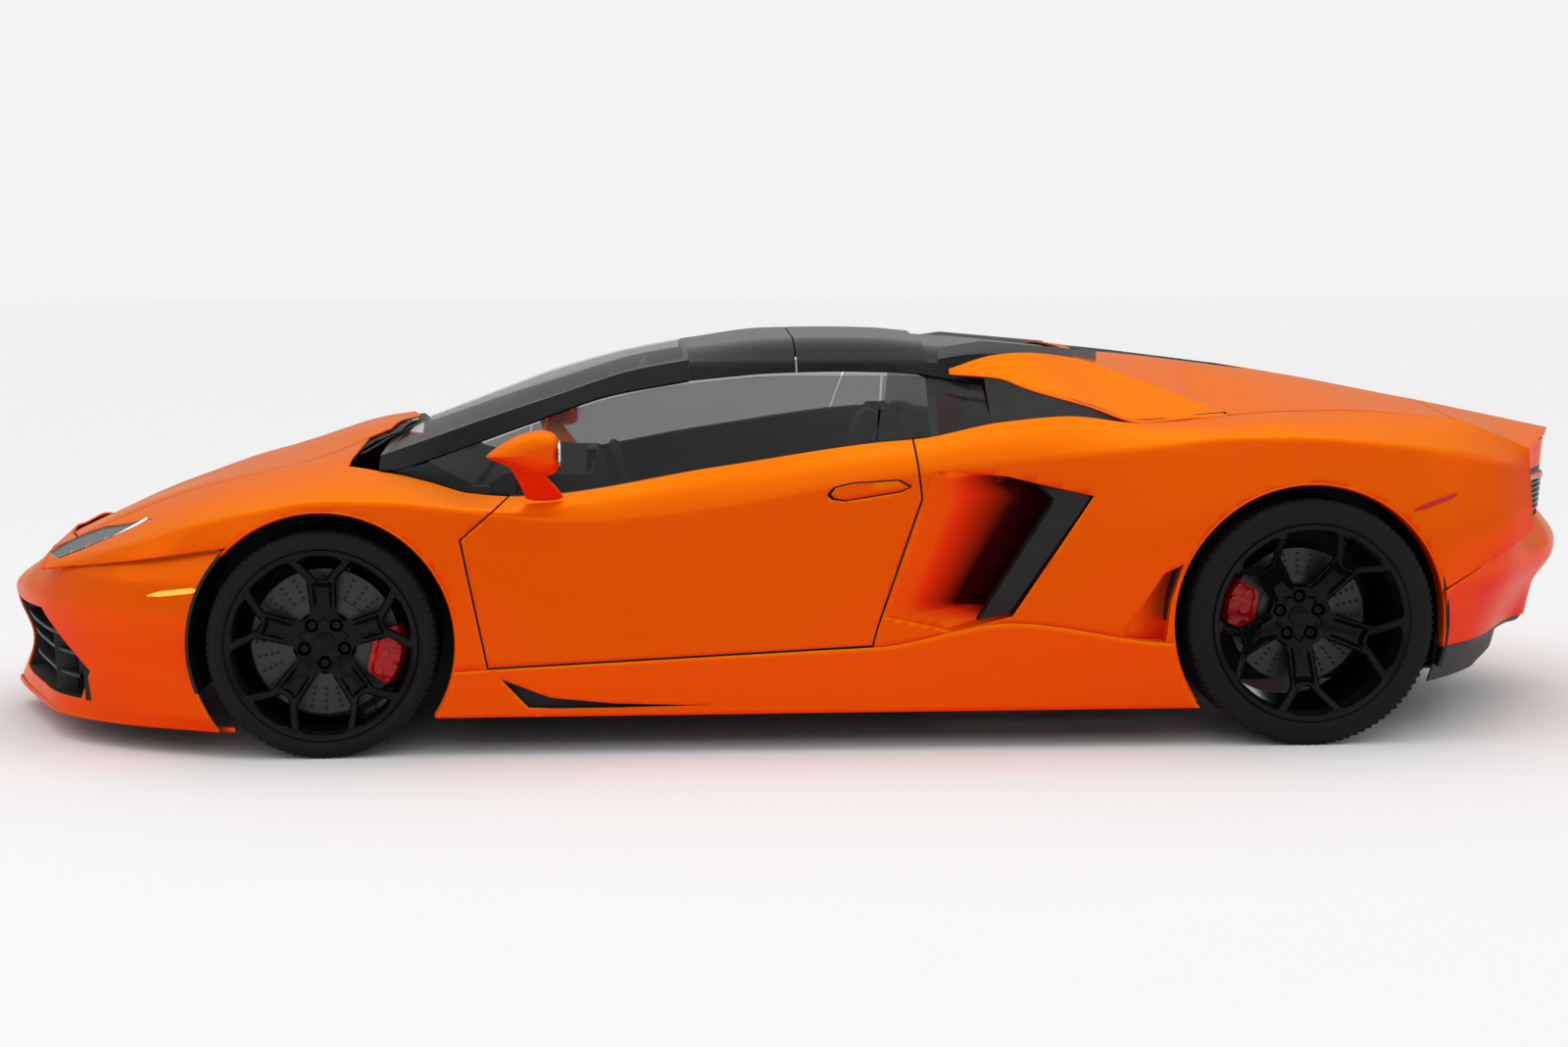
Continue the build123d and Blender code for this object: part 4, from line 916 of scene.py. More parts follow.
class SUPERCAR_OT_quarters(CarOperator, bpy.types.Operator):
    """Builds the rear quarters with their air intakes and blades."""

    bl_idname = "supercar.quarters"
    bl_label = "Rear quarters"

    def execute(self, context):
        rear = clean_side().pick(lambda c: c[:, 0] > 60).cut(grown(DOOR_SIDE, HALF_SHUT), "side")[1]
        mouth, rear = rear.pick(lambda c: c[:, 0] > 150).cut(INTAKE_SIDE, "side")
        small = ((996, 508), (942, 484), (826, 313), (868, 215), (940, 215), (950, 300), (962, 400))
        pocket, rear = rear.cut(small, "side")
        t = np.clip((pocket.compact()[0][:, 0] - 826) / 150, 0, 1)
        piece("rear_scoops_paint", both(sunk(pocket, np.stack([0 * t, 12 + 70 * t, 0 * t], axis=1), 3.0)),
              "paint")
        piece("rear_quarters_paint", both(rear.shell(SKIN)), "paint", stands_for="rear_fenders")

        def across(points):
            """How far back points lie in the intake: 0 at its front edge, 1 at the blade."""
            lead = np.interp(points[:, 2], (327, 369, 690, 763), (190, 175, 290, 330))
            trail = np.interp(points[:, 2], (327, 368, 693, 763), (420, 525, 751, 640))
            return np.clip((points[:, 0] - lead) / (trail - lead), 0, 1)

        # Painted shade: the intake's paint is dimmed towards the blade, less towards its foot, as if shaded
        # deep in the duct.
        def shade(points):
            return 3.0 * np.clip(across(points) - 0.16, 0, 1) * np.clip((points[:, 2] - 335) / 60, 0.15, 1)

        verts = mouth.compact()[0]
        t = across(verts)
        rise = np.clip((verts[:, 2] - 327) / 60, 0, 1) * np.clip((770 - verts[:, 2]) / 60, 0, 1)
        scoop = np.stack([0 * t, 175 * t ** 1.15 * (0.35 + 0.65 * rise), 0 * t], axis=1)
        piece("side_intake_scoops_paint", both(mouth.moved(scoop).shell(3.0)), "paint", shade=shade)
        piece("side_intake_walls", both(rim_wall(mouth, scoop)), "paint", shade=shade)
        piece("side_intake_blades", both(intake_blade()), "satin_black", stands_for="intake_blades",
              closed=True, bevel=2)
        return {"FINISHED"}


class SUPERCAR_OT_roof(CarOperator, bpy.types.Operator):
    """Builds the glossy roof panels, the windscreen and its pillars."""

    bl_idname = "supercar.roof"
    bl_label = "Roof and screen"

    def execute(self, context):
        lines = (ROOF_CENTRE, ROOF_RIDGE, ROOF_EDGE)
        roof = whole(lofted(lines + (ROOF_FOOT,), np.linspace(-345, 338, 52), (90, 22), corner=6))
        seam = ((-40, -700), (-36, -700), (-36, 700), (-40, 700))
        piece("roof_gloss_panels", roof.cut(seam, "plan", 10)[1].shell(SKIN), "gloss_black",
              stands_for="roof_panels")
        hoop = lofted(lines, np.linspace(335, 757, 30), (90,), corner=6, shift=(0, 0, -9.0))
        piece("rear_hoop_black", whole(hoop).shell(SKIN), "gloss_black", stands_for="rear_hoop")
        feet = lofted((ROOF_EDGE, ROOF_FOOT), np.linspace(330, 500, 16), (), 8, shift=(0, 0, -3.0))
        piece("rear_hoop_feet", both(feet.shell(SKIN)), "gloss_black")
        stations = (372, 500, 840)
        x = np.linspace(stations[0], stations[-1], 40)
        line = np.stack([x, -np.interp(x, stations, (524, 506, 484)),
                         np.interp(x, stations, (1079, 1098, 1066))], axis=1)
        rail = profiled(line, ((0, -7, 6), (0, 7, 6), (0, 12, -34), (0, -12, -34), (0, -7, 6)), (4, 4, 4), 3,
                        4)
        piece("rear_hoop_rails", both(capped(rail, wrap=False)), "grey", closed=True)
        x = np.linspace(-1205, -345, 70)
        band = mirrored(((-1160, 0), (-1165, 300), (-1178, 560), (-1196, 722), (-1150, 716), (-902, 668),
                         (-741, 620), (-499, 548), (-360, 515), (-360, 0)))
        screen = whole(lofted((SCREEN_CENTRE, SCREEN_MID, SCREEN_EDGE), x, (320,), 12, 12))
        glass, frit = screen.cut(band, "plan", 40)
        piece("windscreen_glass", glass.shell(5.0), "glass", stands_for="windshield")
        piece("windscreen_black_band", frit.shell(5.0), "gloss_black", stands_for="windshield_frame")
        pillar = lofted((SCREEN_EDGE, PILLAR_FOOT), x, (), 6)
        piece("windscreen_pillars", both(pillar.shell(8.0)), "gloss_black")
        return {"FINISHED"}


class SUPERCAR_OT_side_glass(CarOperator, bpy.types.Operator):
    """Builds the door glass and the small fixed panes fore and aft of it."""

    bl_idname = "supercar.side_glass"
    bl_label = "Side glass"

    def execute(self, context):
        gap, pane_wall = 3.0, 4.0
        x = np.linspace(-1165, 486, 110)
        head, foot = line_points(GLASS_HEAD, x), line_points(GLASS_FOOT, x)
        middle = (head + foot) / 2 + (0, -5.0, 3.0)
        glass = grid_panel(rounded_sections([head, middle, foot], (200,), 8, 8))
        lean = ((-826, 400), (-826, 705), (-770, 960), (-770, 1200), (205, 1200), (205, 1012), (165, 838),
                (165, 400))
        tight, wide = grown(lean, -gap), grown(lean, gap)
        glass.score(tight, "side").score(wide, "side")
        door, fixed = glass.within(tight, "side").shell(pane_wall), glass.without(wide, "side")
        for name, sign in SIDES:
            piece(f"door_{name}_glass", on_side(door, sign), "glass", "door_" + name, "door_glass_" + name)
        outline = ((150, 700), (150, 1100), (420, 1100), (455, 980), (380, 850), (250, 845))
        pane, edge = fixed.pick(lambda c: c[:, 0] > 0).cut(outline, "side", 60)
        front = fixed.pick(lambda c: c[:, 0] < 0)
        piece("quarter_glass", both(merged(pane.shell(pane_wall), front.shell(pane_wall))), "glass",
              stands_for="quarter_windows")
        piece("quarter_glass_black_edge", both(edge.shell(pane_wall)), "gloss_black")
        return {"FINISHED"}


class SUPERCAR_OT_cover(CarOperator, bpy.types.Operator):
    """Builds the engine cover with its louvred rear window on its hinge."""

    bl_idname = "supercar.cover"
    bl_label = "Engine cover"

    def execute(self, context):
        half = lofted((DECK_CENTRE, DECK_RIDGE, DECK_EDGE), np.linspace(762, 2344, 100), (150,), 16, 8)
        outline = mirrored(COVER_PLAN)
        cover = whole(half).cut(grown(outline, -HALF_SHUT), "plan", 40)[0]
        window = mirrored(((800, 0), (800, 300), (1330, 250), (1390, 0)))
        opening, cover = cover.cut(window, "plan", 40)
        body = "engine_cover"
        piece("engine_cover_paint", cover.shell(SKIN), "paint", body, "engine_cover")
        piece("engine_cover_window", opening.moved((0, 0, -26.0)).shell(4.0), "glass", body)
        piece("engine_cover_window_wall", rim_wall(opening, (0, 0, -30.0)), "satin_black", body)
        slats = []
        for k in range(6):
            x0 = 830 + 92 * k
            half_width = 296 - 8.5 * k
            z = float(smooth_at(DECK_CENTRE, [x0 + 36], 2)[0])
            slats.append(slab_box(x0, x0 + 70, -half_width, half_width, z - 6, z + 2, lean=-10))
        piece("engine_cover_slats", merged(*slats), "satin_black", body, bevel=1.2)
        tail = whole(half).cut(grown(outline, HALF_SHUT), "plan", 40)[1].pick(lambda c: c[:, 0] > 1500)
        edge = ((1700, -900), (1700, 900), (2073, 652), (2200, 430), (2290, 200), (2344, 0), (2290, -200),
                (2200, -430), (2073, -652))
        piece("tail_spoiler_paint", tail.cut(edge, "plan", 40)[0].shell(SKIN), "paint",
              stands_for="tail_spoiler")
        piece("engine_cover_rebate", flange(whole(half).pick(lambda c: c[:, 0] > 805), outline, "plan"),
              "satin_black")
        blade = lofted((BLADE_TOP, BLADE_EDGE), np.linspace(392, 1154, 60), (), 10)
        piece("side_blades_paint", both(blade.shell(SKIN)), "paint", stands_for="side_blades")
        x = np.linspace(486, 1154, 60)
        lines = [line_points(BLADE_EDGE, x) + (0, 14.0, 8.0), line_points(TOP, x) + (0, 22.0, -4.0)]
        piece("side_blade_scoops", both(grid_panel(rounded_sections(lines, (), 8)).shell(4.0)), "dark_vents_and_painted_shade")
        return {"FINISHED"}


def slab_box(x0, x1, y0, y1, z0, z1, lean=0.0):
    """A closed block whose rear end is raised by a lean."""
    corners = [(x, y, z + (lean if x == x1 else 0)) for z in (z0, z1) for y in (y0, y1) for x in (x0, x1)]
    faces = [(0, 2, 3, 1), (4, 5, 7, 6), (0, 1, 5, 4), (2, 6, 7, 3), (0, 4, 6, 2), (1, 3, 7, 5)]
    return np.array(corners, float), faces


class SUPERCAR_OT_nose(CarOperator, bpy.types.Operator):
    """Builds the front bumper with its side intakes, fins, lower lip and headlamps."""

    bl_idname = "supercar.nose"
    bl_label = "Nose and headlamps"

    def execute(self, context):
        levels = sweep_levels(BUMPER, 90, 12)
        hood = grown(mirrored(HOOD_PLAN), HALF_SHUT)
        skin = grid_panel(levels[::-1])
        below = [(x, z - HALF_SHUT) for x, z in PARTING] + [(-1250, -90), (-2460, -90)]
        middle = ((-2500, -470), (-2150, -498), (-2100, -470), (-2100, 100), (-2500, 100))
        skin.score(below, "side", 60).score(middle, "plan", 60).score(hood, "plan")
        skin = skin.pick(lambda c: inside(c[:, (0, 2)], below) | inside(c[:, (0, 1)], middle))
        skin = skin.without(hood, "plan")
        mouth = ((-66, 128), (-66, 345), (-200, 352), (-545, 366), (-622, 318), (-742, 212), (-700, 128))
        opening, skin = skin.clear_of(FRONT_AXLE, FRONT_ARCH).cut(mouth, "front", 40)
        piece("nose_paint", both(skin.shell(SKIN)), "paint", stands_for="front_bumper")
        piece("nose_intake_liners", both(sunk(opening, (120.0, 14.0, 6.0), 3.0)), "dark_vents_and_painted_shade",
              stands_for="front_grilles")
        bars = []
        for z in (190, 250, 305):
            row = levels[np.argmin(np.abs(levels[:, 0, 2] - z))]
            row = np.array([p for p in row if 90 < -p[1] < 690])
            fin = ((12, 0, 5), (44, 0, 7), (44, 0, -7), (12, 0, -5), (12, 0, 5))
            bars.append(strip(profiled(row, fin, (2, 2, 2))))
        for y0, y1, x0, top in ((-548, -566, -2150, 352), (-724, -736, -2035, 214)):
            z = np.linspace(128, top, 12)
            front, rear = [np.stack([x0 - 0.04 * (z - 128), y + 0 * z, z], axis=1) for y in (y0, y1)]
            bars.append(strip(rounded_sections([front, rear, rear + (60, 0, 0), front + (60, 0, 0), front],
                                               (3, 3, 3), 2, 2)))
        piece("nose_intake_fins", both(merged(*bars)), "satin_black")
        lip = [np.maximum(levels[0] + d, (-2392, -999, 71))
               for d in ((-6, 0, 12), (-10, 0, 4), (-10, 0, -2), (40, 0, -2), (40, 0, 10))]
        piece("nose_splitter", both(strip(rounded_sections(lip, (3, 3, 3), 3, 3))), "paint")
        top = welded(side_surface().pick(lambda c: c[:, 0] < -1750))
        lens = top.cut(left_plan(grown(LAMP_PLAN, -HALF_SHUT)), "plan")[0]
        lens = lens.cut(left_plan(grown(hood_half(50), HALF_SHUT)), "plan")[1]
        piece("headlamp_lenses", both(lens.shell(3.0)), "clear", stands_for="headlights")
        piece("headlamp_bowls", both(sunk(lens, (14.0, 12.0, -34.0))), "gloss_black")
        aim = np.array((-0.86, -0.38, 0.34))
        lamps = ((-2110, -560, 508, 26), (-2050, -594, 532, 26), (-1990, -630, 556, 24),
                 (-1930, -672, 582, 20))
        units = [dish((x, y, z), aim, r, 20) for x, y, z, r in lamps]
        glow = [dome((x + 4, y + 2, z - 4), aim, r * 0.55) for x, y, z, r in lamps]
        piece("headlamp_reflectors", both(merged(*units)), "chrome")
        piece("headlamp_projectors", both(merged(*glow)), "white_lamp")
        piece("marker_lamps_front", both(marker(-1829, -1687, 439, 459)), "amber", closed=True)
        piece("marker_lamps_rear", both(marker(1638, 1776, 645, 682)), "red", closed=True)
        x = np.linspace(-2140, -1850, 40)
        t = (x + 2140) / 290
        line = np.stack([x, -(586 + 152 * t), 488 + 150 * t ** 1.05], axis=1)
        edge = profiled(line, ((0, 0, 0), (0, -5, 2), (0, -5, -5), (0, 2, -5), (0, 0, 0)), (1, 1, 1))
        piece("headlamp_light_strips", both(strip(edge)), "white_lamp")
        return {"FINISHED"}


def marker(x0, x1, z0, z1):
    """A slim lens that follows the body side between two stations."""
    x = np.linspace(x0, x1, 30)
    t = (x - x0) / (x1 - x0)
    middle = z0 + (z1 - z0) * t
    taper = 8.5 * np.clip(np.minimum(t * 3 + 0.25, (1 - t) * 6 + 0.5), 0, 1)
    y = bumper_width(x, middle) + 4 if x0 < 0 else arch_width(x, middle)
    line = np.stack([x, -y, middle], axis=1)
    up = np.stack([0 * t, 0 * t, taper], axis=1)
    ring = [line + up, line + up * 0.6 - (0, 5, 0), line - up * 0.6 - (0, 5, 0), line - up, line + (0, 6, 0),
            line + up]
    return capped(rounded_sections(ring, (2, 2, 2, 1), 2, 2), wrap=False)


def around(count):
    """Equal angles round a full turn."""
    return np.linspace(0, 2 * np.pi, count, endpoint=False)


def curve_through(ring):
    """A closed smooth curve through 2-D points, four steps to a span."""
    fine = []
    for k in range(len(ring)):
        a, b, c, d = ring[k - 1], ring[k], ring[(k + 1) % len(ring)], ring[(k + 2) % len(ring)]
        bend, twist = 2 * a - 5 * b + 4 * c - d, 3 * b - a - 3 * c + d
        for t in (0, 0.25, 0.5, 0.75):
            fine.append(0.5 * (2 * b + (c - a) * t + bend * t * t + twist * t ** 3))
    return fine


def frame_of(aim):
    """Two directions square to an aim."""
    aim = np.asarray(aim, float)
    aim = aim / np.linalg.norm(aim)
    side = np.cross(aim, (0, 0, 1) if abs(aim[2]) < 0.9 else (1, 0, 0))
    side /= np.linalg.norm(side)
    return aim, side, np.cross(side, aim)


def turned(place, aim, profile, count=32):
    """A surface of revolution about an aim: profile rows are (radius, distance along the aim)."""
    aim, side, up = frame_of(aim)
    angles = around(count)
    ring = np.cos(angles)[:, None] * side + np.sin(angles)[:, None] * up
    grid = np.array([[np.asarray(place) + r * ring[k] + d * aim for r, d in profile] for k in range(count)])
    faces = grid_faces(count, len(profile), wrap_rows=True)
    return grid.reshape(-1, 3), [f[::-1] for f in faces]


def dish(place, aim, radius, depth):
    profile = [(radius, 0), (radius * 0.98, 1.5), (radius * 0.9, 0), (radius * 0.7, -depth * 0.5),
               (radius * 0.35, -depth * 0.9), (0.01, -depth)]
    return turned(place, aim, profile)


def dome(place, aim, radius):
    arc = np.linspace(-0.4, 1.57, 9)
    return turned(place, aim, [(radius * math.cos(a), radius * 0.8 * math.sin(a)) for a in arc])


class SUPERCAR_OT_tail(CarOperator, bpy.types.Operator):
    """Builds the rear bumper, tail panel with its mesh, tail lamps, diffuser shell and exhaust trims."""

    bl_idname = "supercar.tail"
    bl_label = "Tail"

    def execute(self, context):
        skin = grid_panel(sweep_levels(TAIL, 90, 12)[::-1, ::-1])
        edge = ((1400, 210), (1400, 421), (1728, 421), (1959, 511), (2130, 562), (2500, 562), (2500, 210))
        skin = skin.cut(edge, "side", 60)[0].clear_of(REAR_AXLE, REAR_ARCH)
        pipe = ((124, 338), (124, 442), (-124, 442), (-124, 338))
        skin.score(pipe, "front", 30)
        skin = skin.pick(lambda c: ~(inside(c[:, (1, 2)], pipe) & (c[:, 0] > 2000)))
        piece("tail_bumper_paint", both(skin.shell(SKIN)), "paint", stands_for="rear_bumper")
        foot = np.array(((2311, 0), (2212, 300), (2123, 450), (1985, 700), (1960, 745)), float)
        rows = np.array([[(panel_x(x, z), -y, z) for x, y in foot] for z in np.linspace(PANEL_FOOT, 792, 30)])
        panel = grid_panel(rounded_sections([rows[:, k] for k in range(len(foot))], (80, 80, 40), 10, 6))
        limit = ((1900, 500), (1900, 700), (2000, 735), (2060, 776), (2150, 792), (2500, 830), (2500, 560),
                 (2130, 560), (1985, 524))
        band = ((1900, 712), (2500, 712), (2500, 900), (1900, 900))
        upper, lower = panel.cut(limit, "side", 60)[0].cut(band, "side", 60)
        piece("tail_panel_paint", both(upper.shell(4.0)), "paint")
        piece("tail_panel_black", both(lower.shell(4.0)), "satin_black", stands_for="rear_grille")
        bars = [contour_bar(foot, z, 5, 9, (0.0, 0.8)) for z in np.arange(586, 668, 16.0)]
        piece("tail_panel_louvres", both(merged(*bars)), "gloss_black")
        piece("tail_lamps", both(contour_bar(foot, 686, 13, 17, (0.42, 0.86))), "red",
              stands_for="tail_lights")
        piece("tail_lamp_frames", both(contour_bar(foot, 686, 17, 12, (0.40, 0.88))), "gloss_black")
        shroud = grid_panel(sweep_levels(SHROUD, 80, 8)[::-1, ::-1])
        bay = ((-560, 150), (-520, 246), (520, 246), (560, 150), (560, 100), (-560, 100))
        open_bay, shroud = shroud.cut(bay, "front", 40)
        piece("diffuser_shroud", both(merged(shroud.shell(5.0), sunk(open_bay, (-150.0, 0, -10.0), 3.0))),
              "satin_black", stands_for="diffuser")
        fins = [slab_box(1820, rear, y - 3, y + 3, 152, 238) for y,
                rear in ((-330, 2060), (-110, 2110), (110, 2110), (330, 2060))]
        plates = [slab_box(1760, 1890, -640, 640, 150, 158), slab_box(1890, 2040, -250, 250, 150, 158)]
        piece("diffuser_fins", merged(*fins, *plates), "satin_black", closed=True)
        trims = [turned((2262, y, 390), (1, 0, 0.02), [(38, -70), (40, 30), (43, 38), (46, 36), (46, -70)],
                        40) for y in (-62, 62)]
        piece("exhaust_trims", merged(*trims), "metal")
        return {"FINISHED"}


def panel_x(x, z):
    """The station of the leaning tail panel at a height, from its station at its foot."""
    return x + 0.09 * (z - PANEL_FOOT) + 6


def contour_bar(foot, z, half, proud, share):
    """A slim bar that follows the tail panel at a height, over a share of its length."""
    along = np.concatenate([[0], np.cumsum(np.linalg.norm(np.diff(foot, axis=0), axis=1))])
    s = np.linspace(share[0] * along[-1], share[1] * along[-1], 50)
    rows = [(a, p[0], p[1]) for a, p in zip(along, foot)]
    line = np.stack([panel_x(smooth_at(rows, s, 1), z), -smooth_at(rows, s, 2), np.full_like(s, z)], axis=1)
    profile = ((-3, 0, half), (proud, 0, half * 0.6), (proud, 0, -half * 0.6), (-3, 0, -half), (-3, 0, half))
    return capped(profiled(line, profile, (2, 2, 2)), wrap=False, turn_first=True)


class SUPERCAR_OT_sills(CarOperator, bpy.types.Operator):
    """Builds the painted sills with their long black vents."""

    bl_idname = "supercar.sills"
    bl_label = "Sills"

    def execute(self, context):
        x = np.linspace(-1060, 1060, 126)
        lines = [line_points(LOW, x) - (0, 0, 1.0), line_points(SILL_BASE, x)]
        sill = grid_panel(rounded_sections(lines, (), 14))
        for arch in ARCHES:
            sill = sill.clear_of(*arch)
        vent = ((-869, 212), (-735, 160), (-560, 142), (-300, 133), (-560, 130), (-720, 130), (-795, 133))
        opening, sill = sill.cut(vent, "side", 30)
        piece("sills_paint", both(sill.shell(SKIN)), "paint", stands_for="side_sills")
        piece("sill_vents", both(sunk(opening, (0, 22.0, 0))), "dark_vents_and_painted_shade")
        walls, arcs = [], []
        for ((cx, cz), radius), inboard, start, stop in zip(ARCHES, (560, 640), (-33, -11), (137, 214)):
            verts, faces = spun([(radius, 0), (radius, -3), (70, -3), (70, 0)], 60)
            walls.append((np.maximum(verts * (1, -1, 1) + (cx, -inboard, cz), (-9999, -9999, 125)), faces))
            angles = np.radians(np.linspace(start, stop, 90))
            px, pz = cx + radius * np.cos(angles), cz + radius * np.sin(angles)
            line = np.stack([px, -arch_width(px, pz), pz], axis=1)
            inward = np.stack([-np.cos(angles), 0 * angles, -np.sin(angles)], axis=1)
            ring = [line - inward * 1.0, line + (0, -2.0, 0) + inward * 3, line + inward * 7 + (0, 6.0, 0),
                    line + inward * 8 + (0, 44.0, 0)]
            arcs.append(grid_panel(rounded_sections(ring, (3, 6), 3, 4)[::-1]).shell(2.0))
        piece("arch_inner_walls", both(merged(*walls)), "satin_black", closed=True)
        piece("arch_lips_paint", both(merged(*arcs)), "paint")
        return {"FINISHED"}


def bumper_width(px, pz):
    """How far out the front bumper's skin stands at points seen from the side."""
    skin = sweep_levels(BUMPER, 200, 12)
    out = []
    for x, z in zip(px, pz):
        rows = sorted((float(np.interp(x, row[:, 0], row[:, 2])),
                       float(np.interp(x, row[:, 0], -row[:, 1]))) for row in skin)
        out.append(np.interp(z, *zip(*rows)))
    return np.array(out)


def arch_width(px, pz):
    """How far out the painted side stands at points of a wheel arch."""
    lines = [TOP, SHOULDER, CREASE, FLANK, LOW, ((-1675, 965, 100), (-1010, 983, 100), (990, 1000, 100),
                                                 (1728, 985, 280))]
    out = []
    for x, z in zip(px, pz):
        heights = [float(smooth_at(rows, [x], 2)[0]) for rows in lines]
        widths = [float(smooth_at(rows, [x], 1)[0]) for rows in lines]
        out.append(np.interp(z, heights[::-1], widths[::-1]))
    return np.array(out)


class SUPERCAR_OT_mirrors(CarOperator, bpy.types.Operator):
    """Builds the door mirrors: painted pods, painted stalks and mirror glass."""

    bl_idname = "supercar.mirrors"
    bl_label = "Door mirrors"

    def execute(self, context):
        outline = np.array(((-892, 826), (-850, 858), (-804, 881), (-760, 892), (-722, 888), (-700, 868),
                            (-698, 830),
                            (-702, 792), (-722, 774), (-760, 772), (-830, 795), (-880, 815)), float)
        middle = np.array((-770, 830.0))
        grid = []
        for y, size, shift in ((-968, 0.50, 6), (-976, 0.62, 5), (-1000, 0.82, 3), (-1035, 0.97, 0),
                               (-1070, 1.0, 0),
                               (-1098, 0.9, 2), (-1114, 0.70, 5), (-1121, 0.42, 8), (-1123, 0.12, 10)):
            ring = middle + (outline - middle) * size + (shift, 0)
            grid.append([(p[0], y, p[1]) for p in curve_through(ring)])
        stalk = []
        for t in np.linspace(0, 1, 14):
            x, y, z = -748 + -52 * t, -905 - 105 * t, 700 + 88 * t ** 0.8
            wide, thick = 52 - 18 * t, 11 - 3 * t
            stalk.append([(x + wide * math.cos(a), y + 2 * math.sin(a), z + thick * math.sin(a))
                          for a in around(20)])
        glass_y = -1052
        mirror = turned((-699, glass_y, 830), (1, 0.12, 0),
                        [(0.01, 2), (20, 2), (34, 1.4), (36, 0), (36, -6)], 36)
        mirror[0][:, 1] = glass_y + (mirror[0][:, 1] - glass_y) * 1.5
        for name, sign in SIDES:
            door = "door_" + name
            piece(f"mirror_{name}_pod", on_side(capped(np.array(grid)), sign), "paint", door,
                  "mirror_" + name, closed=True)
            piece(f"mirror_{name}_stalk", on_side(capped(np.array(stalk)), sign), "paint", door, closed=True)
            piece(f"mirror_{name}_glass", on_side(mirror, sign), "chrome", door, closed=True)
        return {"FINISHED"}


# One row for each end of the car: name, axle, how far out the tyre's middle is, tyre width and radius, rim
# radius, how deep the face dishes, the first arm's angle, disc radius, and where the caliper sits.
WHEELS = (
    ("front", FRONT_AXLE, 860.0, 254.0, 309.0, 258.5, 70.0, 90.0, 200.0, -12.0),
    ("rear", REAR_AXLE, 850.0, 334.0, 340.0, 271.5, 138.0, 54.0, 190.0, 172.0),
)
FIFTH = 72
BOLT_CIRCLE = 57
# Half outlines of the openings between the arms and inside their forks, as (radius, half width) on a rim of
# 258.5 mm.
OPENING = ((80, 15), (166, 71), (231, 62), (240, 34), (243, 0))
FORK = ((176, 10), (198, 27), (230, 58), (240, 31), (243, 0))
# Profiles of a caliper's piston swells and bolts, as (radius, height).
PISTON = [(14, -5), (14, 3), (12.5, 4.5), (8, 4.5), (7, 2.5), (0.01, 2.5)]
BOLT = [(6.5, -5), (6.5, 3), (5.5, 4.5), (0.01, 4.5)]
# How far out a rear caliper starts and ends, in metres: its node holds both sides, so its box doesn't say.
REAR_CALIPER = (0.796, 0.864)


def bolt_angle(first_arm, k):
    """Where the wheel bolt after an arm stands."""
    return math.radians(first_arm + FIFTH / 2 + FIFTH * k)


def opening_outline(half, angle, rim):
    """An opening of a wheel's face from one half of its outline, as (x, z) about the axle."""
    grow = rim / 258.5
    ring = [(r * grow, -t * grow) for r, t in half] + [(r * grow, t * grow) for r, t in half[-2::-1]]
    c, s = math.cos(angle), math.sin(angle)
    return [(r * c - t * s, r * s + t * c) for r, t in ring]


def wheel_face(rim, dish_depth, first_arm):
    """The spoked face of a wheel about its axle: x and z across, y outwards from its outer plane."""
    radii = np.concatenate([np.linspace(27, 80, 16), np.linspace(84, rim - 9, 38)])
    angles = around(240)
    points = np.array([[(r * math.cos(a), 0, r * math.sin(a)) for r in radii] for a in angles])
    disc = Panel(points.reshape(-1, 3), grid_faces(len(angles), len(radii), wrap_rows=True))
    outlines = [opening_outline(half, math.radians(first_arm + lead + FIFTH * k), rim)
                for half, lead in ((OPENING, FIFTH / 2), (FORK, 0)) for k in range(5)]
    for outline in outlines:
        disc = disc.cut(outline, "side", 6)[1]
    verts, faces = disc.compact()
    r = np.hypot(verts[:, 0], verts[:, 2])
    away = np.full(len(verts), 1e9)
    for outline in outlines:
        corners = np.array(outline)
        for a, b in zip(corners, np.roll(corners, -1, axis=0)):
            ab = b - a
            p = verts[:, (0, 2)] - a
            t = np.clip((p @ ab) / (ab @ ab), 0, 1)
            away = np.minimum(away, np.linalg.norm(p - t[:, None] * ab, axis=1))
    t = np.clip((r - 50) / (rim - 62), 0, 1)
    depth = -dish_depth * (1 - t ** 1.25)
    ridge = np.interp(away, (0, 4, 9, 14, 20, 30), (-3, 5, 6, 2, -6, -8))
    blend = np.clip((r - 82) / 30, 0, 1) * np.clip((rim - 10 - r) / 10, 0, 1)
    depth += ridge * blend
    turn = np.arctan2(verts[:, 2], verts[:, 0])
    for k in range(5):
        a = bolt_angle(first_arm, k)
        d = np.hypot(verts[:, 0] - BOLT_CIRCLE * math.cos(a), verts[:, 2] - BOLT_CIRCLE * math.sin(a))
        depth -= 15 * np.clip((18 - d) / 4, 0, 1)
    star = np.abs(((turn - math.radians(first_arm)) / math.radians(FIFTH) + 0.5) % 1 - 0.5)
    depth += 5 * np.clip(1 - np.abs(r - (40 + 30 * (1 - 2 * star))) / 4, 0, 1) * (r < 82)
    verts[:, 1] = depth
    return verts, [f[::-1] for f in faces]


def place_round(shell, sign, axle, out):
    """Moves a shape about an axle, y outwards, to one side of the car."""
    verts, faces = shell
    verts = np.asarray(verts) * (1, sign, 1) + np.array((axle[0], sign * out, axle[1]))
    return verts, faces


def spun(profile, count=180):
    """A closed ring from (radius, y) rows about the Y axis."""
    grid = np.array([[(r * math.cos(a), y, r * math.sin(a)) for r, y in profile] for a in around(count)])
    return grid.reshape(-1, 3), grid_faces(count, len(profile), wrap_rows=True, wrap_columns=True)


